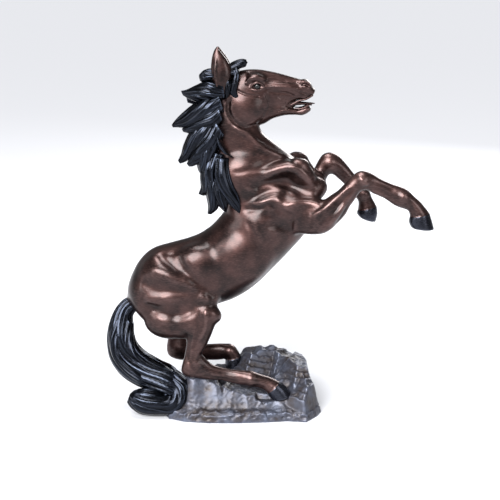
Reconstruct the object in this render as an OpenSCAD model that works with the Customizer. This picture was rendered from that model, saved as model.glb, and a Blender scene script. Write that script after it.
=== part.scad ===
// Rearing horse on a rock, cast in bronze sections and bolted to a hollow bronze base.
// The horse faces +X, its right side is towards -Y, and the base stands on Z = 0.

/* [Overall] */
// Height from the table to the ear tips
statue_height = 590; // [480:1:720]
// Width of the horse over its barrel
barrel_width = 104; // [86:1:125]
// Depth of the rock base, front to back
base_depth = 176; // [146:1:212]

/* [Castings] */
// Wall of the hollow horse castings
casting_wall = 4; // [3:0.5:6]
// Wall of the hollow rock base
base_wall = 5; // [4:0.5:8]
// Height of the rim that runs round the rock base
rim_height = 14; // [11:1:18]
// Diameter of the eyeball
eye_diameter = 11; // [9:0.5:13]

/* [Joints and fixings] */
// Outer diameter of the sleeves that join the castings
sleeve_diameter = 24; // [20:1:28]
// Wall of the sleeves
sleeve_wall = 3; // [2:0.5:4]
// Length of the sleeves
sleeve_length = 30; // [24:1:36]
// Diameter of the dowels across the seams
dowel_diameter = 5; // [4:0.5:6]
// Diameter of the plugs that close the core holes
plug_diameter = 9; // [6:0.5:12]
// Thread diameter of the fixing studs
stud_diameter = 8; // [6:1:10]
// Length of stud that stands in a hoof or in the tail
stud_grip = 10; // [8:1:12]
// Outer diameter of the washers
washer_diameter = 18; // [15:1:24]
// Thickness of the washers
washer_thickness = 1.6; // [1.2:0.2:2.4]
// Height of the nuts
nut_height = 6.5; // [5:0.5:8]

/* [Hidden] */

bronze = [0.35, 0.23, 0.2];
black = [0.1, 0.11, 0.14];
stone = [0.42, 0.44, 0.5];

// The outlines below are drawn for a statue 590 high and 104 wide over the barrel
size = statue_height / 590;
girth = barrel_width / 104;

// Steps of the smooth body between two of its rows
body_steps = 2;
// A row is one cross-section: its upper or front edge (x, z), its lower or rear edge (x, z),
// the y of its centre and its half width
body_rows = [
    [-228, 188, -216, 168, 0, 10], [-224, 212, -200, 150, 0, 34], [-208, 246, -178, 140, 0, 47],
    [-184, 269, -150, 142, 0, 53], [-150, 280, -112, 158, 0, 54], [-116, 290, -80, 173, 0, 53],
    [-92, 304, -50, 185, 0, 52], [-76, 320, -18, 208, 0, 52], [-64, 334, 14, 240, 0, 51],
    [-64, 346, 42, 270, 0, 50], [-67, 358, 70, 300, 0, 48], [-70, 370, 88, 346, 0, 44],
    [-76, 386, 80, 380, 0, 40], [-83, 410, 60, 402, 0, 35],
    [-88, 436, 36, 425, 0, 30], [-89, 462, 10, 445, 0, 26], [-87, 486, -6, 458, 0, 24],
    [-82, 510, -10, 468, 0, 22], [-70, 536, -16, 476, 0, 21]];
// The row of the body at which the torso casting ends and the neck casting starts
seam_row = 11;
head_rows = [
    [-70, 536, -16, 476, 0, 21], [-54, 552, -26, 464, 0, 22], [-34, 558, -14, 468, 0, 23],
    [-12, 557, 0, 474, 0, 20], [8, 554, 16, 484, 0, 16], [26, 551, 30, 492, 0, 14],
    [44, 546, 42, 503, 0, 12], [60, 541, 58, 511, 0, 13], [71, 533, 69, 515, 0, 12],
    [77, 526, 76, 519, 0, 6]];
jaw_rows = [
    [2, 512, 6, 480, 0, 15], [20, 508, 24, 484, 0, 13], [38, 503, 40, 485, 0, 10],
    [54, 495, 56, 486, 0, 9], [66, 496, 66, 488, 0, 8], [71, 500, 71, 494, 0, 4]];
tongue_rows = [
    [26, 508, 28, 497, 0, 6], [44, 507, 44, 500, 0, 6.5], [60, 505, 60, 500, 0, 6],
    [74, 502, 73, 499, 0, 3]];
ear_rows = [
    [-62, 524, -84, 528, 16, 8], [-58, 540, -84, 545, 17, 8], [-57, 558, -84, 560, 17, 7],
    [-61, 575, -80, 574, 17, 5], [-71, 590, -75, 589, 17, 2]];
forelock_rows = [
    [-70, 556, -66, 536, -4, 10], [-52, 566, -52, 544, -6, 13], [-36, 572, -46, 534, -10, 14],
    [-30, 562, -54, 524, -17, 11], [-34, 542, -54, 518, -23, 7], [-40, 526, -50, 516, -25, 3]];

foreleg_right_rows = [
    [66, 372, 44, 298, -30, 20], [87, 359, 76, 300, -42, 19], [100, 366, 96, 306, -43, 17],
    [115, 377, 114, 323, -44, 15], [130, 395, 131, 350, -44, 13], [143, 405, 142, 368, -44, 13],
    [154, 406, 150, 374, -44, 13], [165, 402, 158, 373, -44, 11.5], [178, 394, 166, 368, -44, 10],
    [196, 386, 184, 360, -44, 9.5], [208, 382, 197, 351, -44, 10.5], [219, 377, 207, 346, -44, 12],
    [230, 367, 217, 343, -44, 11.5], [242, 355, 223, 340, -44, 12], [256, 338, 225, 332, -44, 14]];
hoof_fore_right_rows = [
    [256, 338, 225, 332, -44, 14], [260, 326, 224, 323, -44, 15], [264, 312, 228, 315, -44, 16]];
foreleg_left_rows = [
    [46, 376, 56, 296, 30, 20], [68, 384, 80, 318, 39, 18], [78, 392, 91, 345, 42, 16],
    [85, 406, 98, 371, 42, 13], [93, 417, 103, 381, 42, 13], [106, 420, 106, 382, 42, 13],
    [119, 414, 110, 381, 42, 12], [131, 401, 118, 374, 42, 10], [145, 384, 130, 362, 42, 9.5],
    [158, 368, 141, 350, 42, 9.5], [168, 356, 148, 342, 42, 11], [174, 345, 152, 336, 42, 12],
    [182, 330, 151, 323, 42, 13.5]];
hoof_fore_left_rows = [
    [182, 330, 151, 323, 42, 13.5], [184, 317, 150, 317, 42, 15], [181, 304, 154, 312, 42, 15.5]];
hind_leg_right_rows = [
    [-94, 216, -146, 176, -26, 22], [-80, 197, -146, 152, -38, 20], [-78, 178, -134, 148, -42, 18],
    [-79, 160, -125, 138, -44, 17], [-86, 138, -127, 122, -45, 14], [-97, 114, -131, 100, -45, 12],
    [-103, 106, -135, 88, -45, 12], [-100, 101, -138, 76, -45, 12], [-94, 94, -134, 66, -45, 12],
    [-87, 87, -118, 62, -46, 11], [-78, 83, -92, 60, -46, 10], [-62, 79, -68, 58, -46, 9.5],
    [-42, 77, -50, 53, -47, 10], [-25, 75, -32, 49, -47, 11], [-9, 70, -16, 48, -48, 11.5],
    [7, 65, -6, 44, -48, 11.5], [22, 58, 2, 38, -49, 12.5]];
hoof_hind_right_rows = [
    [22, 58, 2, 38, -49, 12.5], [33, 49, 6, 32, -49, 14], [42, 35, 11, 27, -49, 15]];
hind_leg_left_rows = [
    [-94, 216, -146, 176, 24, 22], [-96, 190, -162, 142, 36, 20], [-108, 165, -160, 126, 39, 18],
    [-118, 140, -162, 112, 40, 15], [-122, 120, -165, 100, 40, 12.5], [-122, 104, -168, 84, 40, 12],
    [-118, 98, -165, 70, 40, 12], [-110, 94, -148, 62, 40, 11.5], [-99, 92, -116, 61, 40, 10.5],
    [-80, 93, -90, 61, 40, 10], [-64, 92, -73, 63, 40, 10.5], [-50, 86, -68, 66, 40, 11.5],
    [-41, 70, -67, 64, 40, 12.5]];
hoof_hind_left_rows = [
    [-41, 70, -67, 64, 40, 12.5], [-42, 60, -68, 57, 40, 14], [-44, 50, -67, 49, 40, 15]];

mane_upper_locks = [
    [[-58, 556, -62, 536, -6, 12], [-84, 560, -80, 528, -8, 18], [-103, 547, -86, 510, -10, 18],
        [-118, 531, -104, 510, -10, 10], [-133, 525, -128, 519, -10, 3]],
    [[-82, 534, -62, 500, -12, 20], [-106, 516, -74, 482, -14, 22], [-128, 497, -100, 468, -14, 18],
        [-143, 484, -126, 466, -14, 10], [-150, 474, -144, 468, -14, 3]]];
mane_middle_locks = [
    [[-88, 496, -66, 470, -14, 20], [-110, 478, -72, 446, -16, 24], [-126, 454, -96, 426, -16, 19],
        [-134, 430, -116, 414, -16, 10], [-141, 416, -134, 411, -16, 3]],
    [[-92, 462, -68, 448, -14, 24], [-112, 442, -60, 420, -18, 26], [-118, 420, -66, 400, -18, 22],
        [-112, 404, -86, 391, -18, 12], [-106, 394, -100, 388, -16, 4]]];
mane_lower_locks = [
    [[-92, 432, -56, 424, -16, 26], [-102, 405, -48, 395, -20, 27], [-102, 380, -44, 375, -24, 26],
        [-96, 360, -42, 356, -26, 24], [-90, 342, -42, 342, -28, 20], [-92, 330, -60, 330, -20, 8]],
    [[-96, 396, -70, 398, -8, 18], [-104, 374, -80, 370, -8, 13], [-107, 361, -97, 360, -8, 4]]];
tail_locks = [
    [[-216, 192, -204, 172, 0, 11], [-236, 181, -217, 158, -2, 13], [-250, 163, -216, 144, -4, 18],
        [-260, 136, -214, 127, -8, 24], [-262, 110, -207, 108, -10, 27], [-257, 84, -190, 93, -14, 29],
        [-240, 60, -166, 83, -22, 28], [-215, 44, -148, 75, -30, 26], [-188, 36, -134, 60, -38, 23],
        [-170, 32, -128, 38, -46, 18]],
    [[-156, 66, -160, 44, -34, 16], [-130, 52, -160, 40, -44, 18], [-128, 26, -160, 34, -50, 18],
        [-146, 6, -166, 34, -54, 16], [-176, 2, -182, 38, -56, 15], [-204, 6, -202, 40, -56, 14],
        [-222, 20, -214, 36, -56, 7]]];

// Outline of the rock base, in plan, for a base 176 deep
base_outline = [
    [92, -40], [84, -58], [66, -84], [34, -80], [0, -84], [-44, -88], [-92, -88], [-132, -82],
    [-160, -68], [-174, -38], [-172, 2], [-158, 38], [-134, 64], [-98, 80], [-58, 87], [-18, 88],
    [22, 84], [54, 70], [76, 46], [86, 14], [84, -12]];
// Rocks on the base: centre (x, y), height above the ground rock, and radii along x and y
rocks = [
    [4, 50, 50, 42, 26], [54, 12, 44, 30, 30], [-60, 38, 20, 30, 26], [-112, -36, 36, 34, 26],
    [-60, -46, 16, 40, 20], [-140, 10, 8, 26, 40]];
// Height of the ground rock between them
ground_height = 30;
// Rings of the rock surface, as shares of the outline
base_rings = [1, 0.93, 0.8, 0.64, 0.48, 0.32, 0.16];

// Where the studs enter the horse: under both hind hooves and under the right hock
stud_places = [
    [size * 26, girth * -49, size * 31], [size * -56, girth * 40, size * 50],
    [size * -118, girth * -45, size * 64]];
boss_diameter = washer_diameter + 4;
// Height of the faces that the washers bear on, and how high the studs end above the table
seat_height = nut_height + washer_thickness + 4;
stud_foot = 2.5;
bolt_clearance = 1;
// Offset of the seam dowels from the middle of a seam
dowel_offset = sleeve_diameter / 2 + dowel_diameter + 3;
// The two seams of the body castings
neck_seam = body_rows[seam_row];
head_seam = head_rows[0];
// The hoof dowels stand this far towards the heel, so that a hoof fits only one way round
hoof_dowel_offset = 2;
plug_places = [[size * -60, size * 246], [size * -4, size * 292]];
eye_place = [size * -16, girth * 17, size * 535];

// One cross-section brought to the statue's own size
function sized(row) = [row[0] * size, row[1] * size, row[2] * size, row[3] * size,
    row[4] * girth, row[5] * girth];
// The cross-section t of the way from row b to row c, on a smooth curve through a, b, c and d
function between(a, b, c, d, t) = b + 0.5 * t * (c - a + t * (2 * a - 5 * b + 4 * c - d
    + t * (3 * (b - c) + d - a)));
// Rows with steps - 1 more between each two
function smooth_rows(rows, steps) = let (last = len(rows) - 1) [
    for (i = [0 : last - 1], j = [0 : steps - 1])
        between(rows[max(i - 1, 0)], rows[i], rows[i + 1], rows[min(i + 2, last)], j / steps),
    rows[last]];
// Rows moved inwards by a wall
function inset_rows(rows, wall) = [for (r = rows)
    let (d = [r[0] - r[2], r[1] - r[3]], u = d / norm(d) * wall)
        [r[0] - u[0], r[1] - u[1], r[2] + u[0], r[3] + u[1], r[4], r[5] - wall]];
function row_centre(r) = [(r[0] + r[2]) / 2, r[4], (r[1] + r[3]) / 2];
// Angle from +Z towards +X of the normal of a row, and the row moved along that normal
function row_tilt(r) = atan2(r[1] - r[3], r[2] - r[0]);
function moved_row(r, way) = let (n = [sin(row_tilt(r)), cos(row_tilt(r))] * way)
    [r[0] + n[0], r[1] + n[1], r[2] + n[0], r[3] + n[1], r[4], r[5]];
function row_points(r, sides) = [for (i = [0 : sides - 1])
    let (c = cos(360 * i / sides), s = sin(360 * i / sides))
        row_centre(r) + [(r[0] - r[2]) / 2 * c, r[5] * s, (r[1] - r[3]) / 2 * c]];

// A closed skin over a stack of cross-sections, smoothed first and then as it stands
module skin(rows, sides, steps) {
    raw_skin(smooth_rows([for (r = rows) sized(r)], steps), sides);
}

module raw_skin(fine, sides) {
    last = len(fine) - 1;
    way = row_centre(fine[1]) - row_centre(fine[0]);
    half = [fine[0][0] - fine[0][2], 0, fine[0][1] - fine[0][3]];
    flip = cross(half, [0, 1, 0]) * way > 0;
    rings = [for (r = fine) each row_points(r, sides)];
    points = concat(rings, [row_centre(fine[0]), row_centre(fine[last])]);
    tip = len(rings);
    walls = [for (k = [0 : last - 1], i = [0 : sides - 1])
        let (a = k * sides + i, b = k * sides + (i + 1) % sides, c = b + sides, d = a + sides)
            each [[a, b, c], [a, c, d]]];
    ends = [for (i = [0 : sides - 1])
        let (j = (i + 1) % sides)
            each [[j, i, tip], [last * sides + i, last * sides + j, tip + 1]]];
    faces = [for (f = concat(walls, ends)) flip ? [f[2], f[1], f[0]] : f];
    polyhedron(points, faces);
}

// The hollow inside a casting, a wall inside its rows from first to last. Beside a seam it
// starts or ends a wall away from the seam's row.
module hollow(rows, seam_before, first, last, seam_after, sides) {
    inner = inset_rows([for (r = rows) sized(r)], casting_wall);
    start = seam_before < 0 ? [] : [moved_row(inner[seam_before], casting_wall)];
    end = seam_after < 0 ? [] : [moved_row(inner[seam_after], -casting_wall)];
    raw_skin(smooth_rows(concat(start, [for (i = [first : last]) inner[i]], end), 2), sides);
}

// Puts its children on the middle of a cross-section, with +Z along the casting
module on_row(r) {
    fitted = sized(r);
    translate(row_centre(fitted)) rotate([0, row_tilt(fitted), 0]) children();
}

module bar(diameter, length) {
    cylinder(d = diameter, h = length, center = true, $fn = 48);
}

// The spaces of the sleeve and of the two dowels that join the castings at a seam
module sleeve_space(r) {
    on_row(r) bar(sleeve_diameter, sleeve_length);
}

module seam_dowel_spaces(r) {
    on_row(r) for (side = [-1, 1]) translate([side * dowel_offset, 0, 0])
        bar(dowel_diameter, 1.6 * casting_wall);
}

module hoof_dowel_space(rows) {
    on_row(rows[0]) translate([hoof_dowel_offset, 0, 0]) rotate([0, 0, 20])
        bar(dowel_diameter, 2 * dowel_diameter);
}

// The body from tail to poll is one smooth surface, and the torso and the neck are parts of it
module body_skin(first, last) {
    fine = smooth_rows([for (r = body_rows) sized(r)], body_steps);
    raw_skin([for (i = [first * body_steps : last * body_steps]) fine[i]], 20);
}

module torso_skin() { body_skin(0, seam_row); }
module neck_skin() { body_skin(seam_row, len(body_rows) - 1); }
module whole_body_skin() { body_skin(0, len(body_rows) - 1); }
module head_skin() { skin(head_rows, 16, 2); }
module tongue_skin() { skin(tongue_rows, 10, 2); }
module ear_skin(side) { mirror([0, side < 0 ? 1 : 0, 0]) skin(ear_rows, 10, 2); }
module forelock_skin() { skin(forelock_rows, 10, 2); }
module leg_skin(rows) { skin(rows, 12, 1); }
module locks_skin(locks) { for (lock = locks) skin(lock, 8, 2); }

module torso_hollow() { hollow(body_rows, -1, 1, seam_row - 1, seam_row, 20); }

module stud_spaces(diameter, foot) {
    for (p = stud_places) translate([p[0], p[1], foot])
        cylinder(d = diameter, h = p[2] + stud_grip - foot, $fn = 48);
}

module plug_bores() {
    for (p = plug_places) translate([p[0], 0, p[1]]) rotate([90, 0, 0])
        bar(plug_diameter, 2 * barrel_width);
}

module torso() {
    color(bronze) difference() {
        torso_skin();
        torso_hollow();
        sleeve_space(neck_seam);
        seam_dowel_spaces(neck_seam);
        plug_bores();
    }
}

module core_plugs() {
    color(bronze) intersection() {
        difference() {
            torso_skin();
            torso_hollow();
        }
        plug_bores();
    }
}

module neck() {
    color(bronze) difference() {
        neck_skin();
        hollow(body_rows, seam_row, seam_row + 1, len(body_rows) - 2, len(body_rows) - 1, 20);
        for (seam = [neck_seam, head_seam]) sleeve_space(seam);
        for (seam = [neck_seam, head_seam]) seam_dowel_spaces(seam);
    }
}

module head() {
    color(bronze) difference() {
        union() {
            head_skin();
            skin(jaw_rows, 12, 2);
        }
        hollow(head_rows, 0, 2, 5, -1, 16);
        sleeve_space(head_seam);
        seam_dowel_spaces(head_seam);
        for (side = [-1, 1]) eyeball(side);
        tongue_skin();
    }
}

module tongue() {
    color(bronze) tongue_skin();
}

module eyeball(side) {
    translate([eye_place[0], side * eye_place[1], eye_place[2]]) sphere(d = eye_diameter, $fn = 48);
}

module eye(side) {
    color(black) eyeball(side);
}

module ear(side) {
    color(bronze) difference() {
        ear_skin(side);
        head_skin();
        neck_skin();
    }
}

module forelock() {
    color(black) difference() {
        forelock_skin();
        head_skin();
        neck_skin();
        for (side = [-1, 1]) ear_skin(side);
    }
}

module mane_upper() {
    color(black) difference() {
        locks_skin(mane_upper_locks);
        neck_skin();
        head_skin();
        for (side = [-1, 1]) ear_skin(side);
        forelock_skin();
    }
}

module mane_middle() {
    color(black) difference() {
        locks_skin(mane_middle_locks);
        neck_skin();
        locks_skin(mane_upper_locks);
    }
}

module mane_lower() {
    color(black) difference() {
        locks_skin(mane_lower_locks);
        whole_body_skin();
        locks_skin(mane_middle_locks);
    }
}

module foreleg(rows, hoof_rows) {
    color(bronze) difference() {
        leg_skin(rows);
        whole_body_skin();
        hoof_dowel_space(hoof_rows);
    }
}

module hind_leg(rows, hoof_rows) {
    color(bronze) difference() {
        leg_skin(rows);
        torso_skin();
        hoof_dowel_space(hoof_rows);
        stud_spaces(stud_diameter, stud_foot);
    }
}

module fore_hoof(rows) {
    color(black) difference() {
        leg_skin(rows);
        hoof_dowel_space(rows);
    }
}

module hind_hoof(rows) {
    color(black) difference() {
        leg_skin(rows);
        hoof_dowel_space(rows);
        stud_spaces(stud_diameter, stud_foot);
    }
}

module tail() {
    color(black) difference() {
        locks_skin(tail_locks);
        hollow(tail_locks[0], -1, 2, 7, -1, 8);
        torso_skin();
        leg_skin(hind_leg_right_rows);
    }
}

// Height that the rocks add at (x, y), and the height of the rock's surface on a ring
function rocks_at(x, y) = sum_list([for (r = rocks)
    r[2] * exp(-pow((x - r[0]) / r[3], 2) - pow((y - r[1]) / r[4], 2))]);
function sum_list(list, i = 0) = i < len(list) ? list[i] + sum_list(list, i + 1) : 0;
function surface_height(x, y, ring) = rim_height
    + (ground_height + rocks_at(x, y) - rim_height) * (1 - pow(ring, 10));

// The rock's solid: its foot, its outline and its rings, drawn at a share of the outline and
// lowered by drop
module rock_body(share, drop, foot) {
    count = len(base_outline);
    middle = [-42, 0];
    depth = base_depth / 176;
    place = function (ring, i) middle + (base_outline[i] - middle) * ring * share;
    points = concat(
        [for (i = [0 : count - 1]) let (p = place(1, i)) [p[0] * size, p[1] * depth, foot]],
        [for (ring = base_rings, i = [0 : count - 1]) let (p = place(ring, i))
            [p[0] * size, p[1] * depth, surface_height(p[0], p[1], ring * share) * size - drop]],
        [[middle[0] * size, middle[1] * depth,
            surface_height(middle[0], middle[1], 0) * size - drop]],
        [[middle[0] * size, middle[1] * depth, foot]]);
    levels = len(base_rings);
    top = count * (levels + 1);
    faces = concat(
        [for (i = [0 : count - 1]) [(i + 1) % count, i, top + 1]],
        [for (k = [0 : levels - 1], i = [0 : count - 1])
            let (a = k * count + i, b = k * count + (i + 1) % count, c = b + count, d = a + count)
                each [[a, b, c], [a, c, d]]],
        [for (i = [0 : count - 1])
            [levels * count + (i + 1) % count, top, levels * count + i]]);
    polyhedron(points, faces);
}

module rock_base() {
    color(stone) difference() {
        rock_body(1, 0, 0);
        difference() {
            rock_body(0.87, 1.3 * base_wall, -1);
            for (p = stud_places) translate([p[0], p[1], seat_height])
                cylinder(d = boss_diameter, h = p[2], $fn = 48);
        }
        stud_spaces(stud_diameter + bolt_clearance, -1);
        for (rows = [hind_leg_right_rows, hind_leg_left_rows,
            hoof_hind_right_rows, hoof_hind_left_rows]) leg_skin(rows);
        locks_skin(tail_locks);
    }
}

module mounting_studs() {
    color("silver") stud_spaces(stud_diameter, stud_foot);
}

module mounting_washers() {
    color("silver") for (p = stud_places)
        translate([p[0], p[1], seat_height - washer_thickness]) difference() {
            cylinder(d = washer_diameter, h = washer_thickness, $fn = 48);
            translate([0, 0, -1]) cylinder(d = stud_diameter + bolt_clearance,
                h = washer_thickness + 2, $fn = 48);
        }
}

module mounting_nuts() {
    color("silver") for (p = stud_places)
        translate([p[0], p[1], seat_height - washer_thickness - nut_height]) difference() {
            cylinder(d = 1.8 * stud_diameter, h = nut_height, $fn = 6);
            translate([0, 0, -1]) cylinder(d = stud_diameter, h = nut_height + 2, $fn = 48);
        }
}

module seam_sleeves() {
    color("goldenrod") for (seam = [neck_seam, head_seam]) on_row(seam) difference() {
        bar(sleeve_diameter, sleeve_length);
        bar(sleeve_diameter - 2 * sleeve_wall, sleeve_length + 2);
    }
}

module seam_dowels() {
    color("goldenrod") for (seam = [neck_seam, head_seam]) seam_dowel_spaces(seam);
}

module hoof_dowels() {
    color("goldenrod") for (rows = [hoof_fore_right_rows, hoof_fore_left_rows,
        hoof_hind_right_rows, hoof_hind_left_rows]) hoof_dowel_space(rows);
}

torso();
neck();
head();
tongue();
ear(-1);  // ear_right
ear(1);  // ear_left
eye(-1);  // eye_right
eye(1);  // eye_left
forelock();
mane_upper();
mane_middle();
mane_lower();
foreleg(foreleg_right_rows, hoof_fore_right_rows);  // foreleg_right
foreleg(foreleg_left_rows, hoof_fore_left_rows);  // foreleg_left
hind_leg(hind_leg_right_rows, hoof_hind_right_rows);  // hind_leg_right
hind_leg(hind_leg_left_rows, hoof_hind_left_rows);  // hind_leg_left
fore_hoof(hoof_fore_right_rows);  // hoof_fore_right
fore_hoof(hoof_fore_left_rows);  // hoof_fore_left
hind_hoof(hoof_hind_right_rows);  // hoof_hind_right
hind_hoof(hoof_hind_left_rows);  // hoof_hind_left
tail();
rock_base();
mounting_studs();
mounting_washers();
mounting_nuts();
seam_sleeves();
seam_dowels();
hoof_dowels();
core_plugs();
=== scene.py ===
import math
import bmesh
import bpy
import numpy as np
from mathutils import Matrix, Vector


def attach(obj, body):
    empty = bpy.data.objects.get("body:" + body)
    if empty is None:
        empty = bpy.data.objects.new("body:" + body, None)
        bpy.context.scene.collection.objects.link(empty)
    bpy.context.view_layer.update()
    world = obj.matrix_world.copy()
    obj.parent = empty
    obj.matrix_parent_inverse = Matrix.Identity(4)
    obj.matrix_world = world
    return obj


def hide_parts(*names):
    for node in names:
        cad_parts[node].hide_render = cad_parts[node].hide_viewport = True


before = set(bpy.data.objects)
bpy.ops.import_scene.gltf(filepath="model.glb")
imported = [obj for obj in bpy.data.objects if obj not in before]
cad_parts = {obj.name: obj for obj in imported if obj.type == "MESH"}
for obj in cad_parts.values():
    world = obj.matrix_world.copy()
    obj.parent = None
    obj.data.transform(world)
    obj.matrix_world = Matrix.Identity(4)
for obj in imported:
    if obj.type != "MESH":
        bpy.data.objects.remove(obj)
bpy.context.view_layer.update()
mm = 0.001
sides = (-1, 1)  # the right side is -Y and the left one +Y
coarser = 1
print("frame loaded:", len(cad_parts), "castings and fixings")


class Clay:
    # a block of signed distances in millimetres on a grid: below 0 inside the shape, above 0 outside it
    outside = 30
    slab = 32

    def __init__(self, block):
        self.low = np.array(block["low"], np.float32)
        self.step = block["step"] * coarser
        counts = np.ceil((np.array(block["high"]) - self.low) / self.step).astype(int) + 1
        self.field = np.full(counts, self.outside, np.float32)

    def apply(self, shape, low, high, blend, carve=False):
        # works through the part of the block between low and high in slabs, to save memory
        first = np.clip(np.floor((np.array(low) - self.low) / self.step).astype(int), 0, None)
        last = np.clip(np.ceil((np.array(high) - self.low) / self.step).astype(int) + 1, 0,
                       self.field.shape)
        if (first >= last).any():
            return
        for start in range(first[0], last[0], self.slab):
            starts = (start, first[1], first[2])
            ends = (min(start + self.slab, last[0]), last[1], last[2])
            x, y, z = [self.low[i] + self.step * np.arange(starts[i], ends[i], dtype=np.float32)
                       for i in range(3)]
            part = tuple(slice(a, b) for a, b in zip(starts, ends))
            new = shape(x[:, None, None], y[None, :, None], z[None, None, :])
            old = self.field[part]
            if carve:
                mix = np.clip(0.5 - 0.5 * (old + new) / blend, 0, 1)
                self.field[part] = old + mix * (-new - old) + blend * mix * (1 - mix)
            else:
                mix = np.clip(0.5 + 0.5 * (old - new) / blend, 0, 1)
                self.field[part] = old + mix * (new - old) - blend * mix * (1 - mix)

    def soften(self, turns):
        # rounds every crease off, by about a step each time
        for turn in range(turns):
            for axis in range(3):
                beside = np.roll(self.field, 1, axis) + np.roll(self.field, -1, axis)
                self.field = 0.5 * self.field + 0.25 * beside

    def sample(self, points):
        # distances between the grid's points
        place = (points - self.low) / self.step
        place = np.clip(place, 0, np.array(self.field.shape) - 1.001)
        cell = place.astype(int)
        part = place - cell
        total = 0
        for corner in np.ndindex(2, 2, 2):
            weight = np.prod(np.where(corner, part, 1 - part), axis=1)
            at = cell + corner
            total = total + weight * self.field[at[:, 0], at[:, 1], at[:, 2]]
        return total

    def skin(self, x, z, side):
        # y of the outermost surface at x, z on one side
        i, k = [int(np.clip(round((v - self.low[n]) / self.step), 0, self.field.shape[n] - 1))
                for v, n in ((x, 0), (z, 2))]
        column = self.field[i, :, k]
        inside = np.nonzero(column < 0)[0]
        if not len(inside):
            return None
        edge = inside[0] if side < 0 else inside[-1]
        beyond = int(np.clip(edge + side, 0, len(column) - 1))
        share = column[edge] / (column[edge] - column[beyond] + 1e-6)
        return self.low[1] + self.step * (edge + side * share)


def smoothRows(rows, steps):
    # Catmull-Rom rows, with steps - 1 more between each two
    rows = np.array(rows, float)
    padded = np.vstack([rows[:1], rows, rows[-1:]])
    out = []
    for a, b, c, d in zip(padded, padded[1:], padded[2:], padded[3:]):
        for t in np.arange(steps) / steps:
            out.append(b + 0.5 * t * (c - a + t * (2 * a - 5 * b + 4 * c - d
                                                   + t * (3 * (b - c) + d - a))))
    return np.array(out + [rows[-1]])


def loftShape(rows, steps=4, round=0.5):
    # elliptical cross-sections: front edge x, z, rear edge x, z, y of the middle, half width
    fine = smoothRows(rows, steps)
    middle = (fine[:, 0:2] + fine[:, 2:4]) / 2
    half = (fine[:, 0:2] - fine[:, 2:4]) / 2
    height = np.linalg.norm(half, axis=1)
    along = half / height[:, None]
    ahead = np.stack([along[:, 1], -along[:, 0]], 1)
    way = np.gradient(middle, axis=0)
    ahead *= np.sign(np.sum(ahead * way, 1) + 1e-9)[:, None]
    last = len(fine) - 1

    def between(values, a, b, share):
        return values[a] + share * (values[b] - values[a])

    def shape(x, y, z):
        # each point in side view takes its section from the two rows that it lies between
        flatX, flatZ = x[:, :, 0], z[:, 0, :]
        size = (x.shape[0], z.shape[2])
        near = np.full(size, 1e6, np.float32)
        offset, over, mid = np.zeros((3, *size), np.float32)
        tall, wide = np.full((2, *size), 10, np.float32)
        fronts = [((flatX - middle[k, 0]) * ahead[k, 0] + (flatZ - middle[k, 1]) * ahead[k, 1])
                  .astype(np.float32) for k in range(last + 1)]
        for k in range(-1, last + 1):
            a, b = max(k, 0), min(k + 1, last)
            share, excess = 0.0, 0.0
            if k < 0:
                found, excess = fronts[0] < 0, fronts[0]
            elif k == last:
                found, excess = fronts[last] >= 0, fronts[last]
            else:
                found = (fronts[a] >= 0) & (fronts[b] < 0)
                share = np.clip(fronts[a] / (fronts[a] - fronts[b] + 1e-6), 0, 1)
            if not found.any():
                continue
            midX, midZ = between(middle[:, 0], a, b, share), between(middle[:, 1], a, b, share)
            alongX, alongZ = between(along[:, 0], a, b, share), between(along[:, 1], a, b, share)
            across = (flatX - midX) * alongX + (flatZ - midZ) * alongZ
            newTall, newWide = between(height, a, b, share), between(fine[:, 5], a, b, share)
            cap = round * np.minimum(newTall, newWide)
            metric = np.sqrt((across / newTall) ** 2 + (excess / cap) ** 2)
            better = found & (metric < near)
            near = np.where(better, metric, near)
            offset = np.where(better, across, offset)
            over = np.where(better, excess * newTall / cap, over)
            tall = np.where(better, newTall, tall)
            wide = np.where(better, newWide, wide)
            mid = np.where(better, between(fine[:, 4], a, b, share), mid)
        tall, wide, mid = [v[:, None, :].astype(np.float32) for v in (tall, wide, mid)]
        flat = (offset ** 2 + over ** 2)[:, None, :].astype(np.float32)
        side = y - mid
        unit = np.sqrt(flat / tall ** 2 + side ** 2 / wide ** 2)
        slope = np.sqrt(flat / tall ** 4 + side ** 2 / wide ** 4)
        least = np.minimum(tall, wide)
        return (unit - 1) * (unit + 0.001) / (slope + 0.001 / least)

    return shape, fine


def addLoft(clay, rows, blend=8, carve=False, steps=4, round=0.5):
    shape, fine = loftShape(rows, steps, round)
    margin = blend + 6 + np.max(fine[:, 5]) * round
    xs, zs = fine[:, [0, 2]], fine[:, [1, 3]]
    low = (xs.min() - margin, (fine[:, 4] - fine[:, 5]).min() - margin, zs.min() - margin)
    high = (xs.max() + margin, (fine[:, 4] + fine[:, 5]).max() + margin, zs.max() + margin)
    clay.apply(shape, low, high, blend, carve)


def addEgg(clay, egg, blend=6, carve=False, mirrored=True):
    # egg: x, y, z of its centre, three radii, tilt of its first radius up from +X in degrees
    cx, cy, cz, rx, ry, rz, tilt = egg
    c, s = math.cos(math.radians(tilt)), math.sin(math.radians(tilt))
    reach = max(rx, ry, rz) + blend + 4
    for side in (sides if mirrored else (1,)):
        def shape(x, y, z):
            u = (x - cx) * c + (z - cz) * s
            v = y - cy * side
            w = (z - cz) * c - (x - cx) * s
            unit = np.sqrt((u / rx) ** 2 + (v / ry) ** 2 + (w / rz) ** 2)
            slope = np.sqrt((u / rx ** 2) ** 2 + (v / ry ** 2) ** 2 + (w / rz ** 2) ** 2)
            return (unit - 1) * (unit + 0.001) / (slope + 0.001 / min(rx, ry, rz))
        clay.apply(shape, (cx - reach, cy * side - reach, cz - reach),
                   (cx + reach, cy * side + reach, cz + reach), blend, carve)


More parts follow.
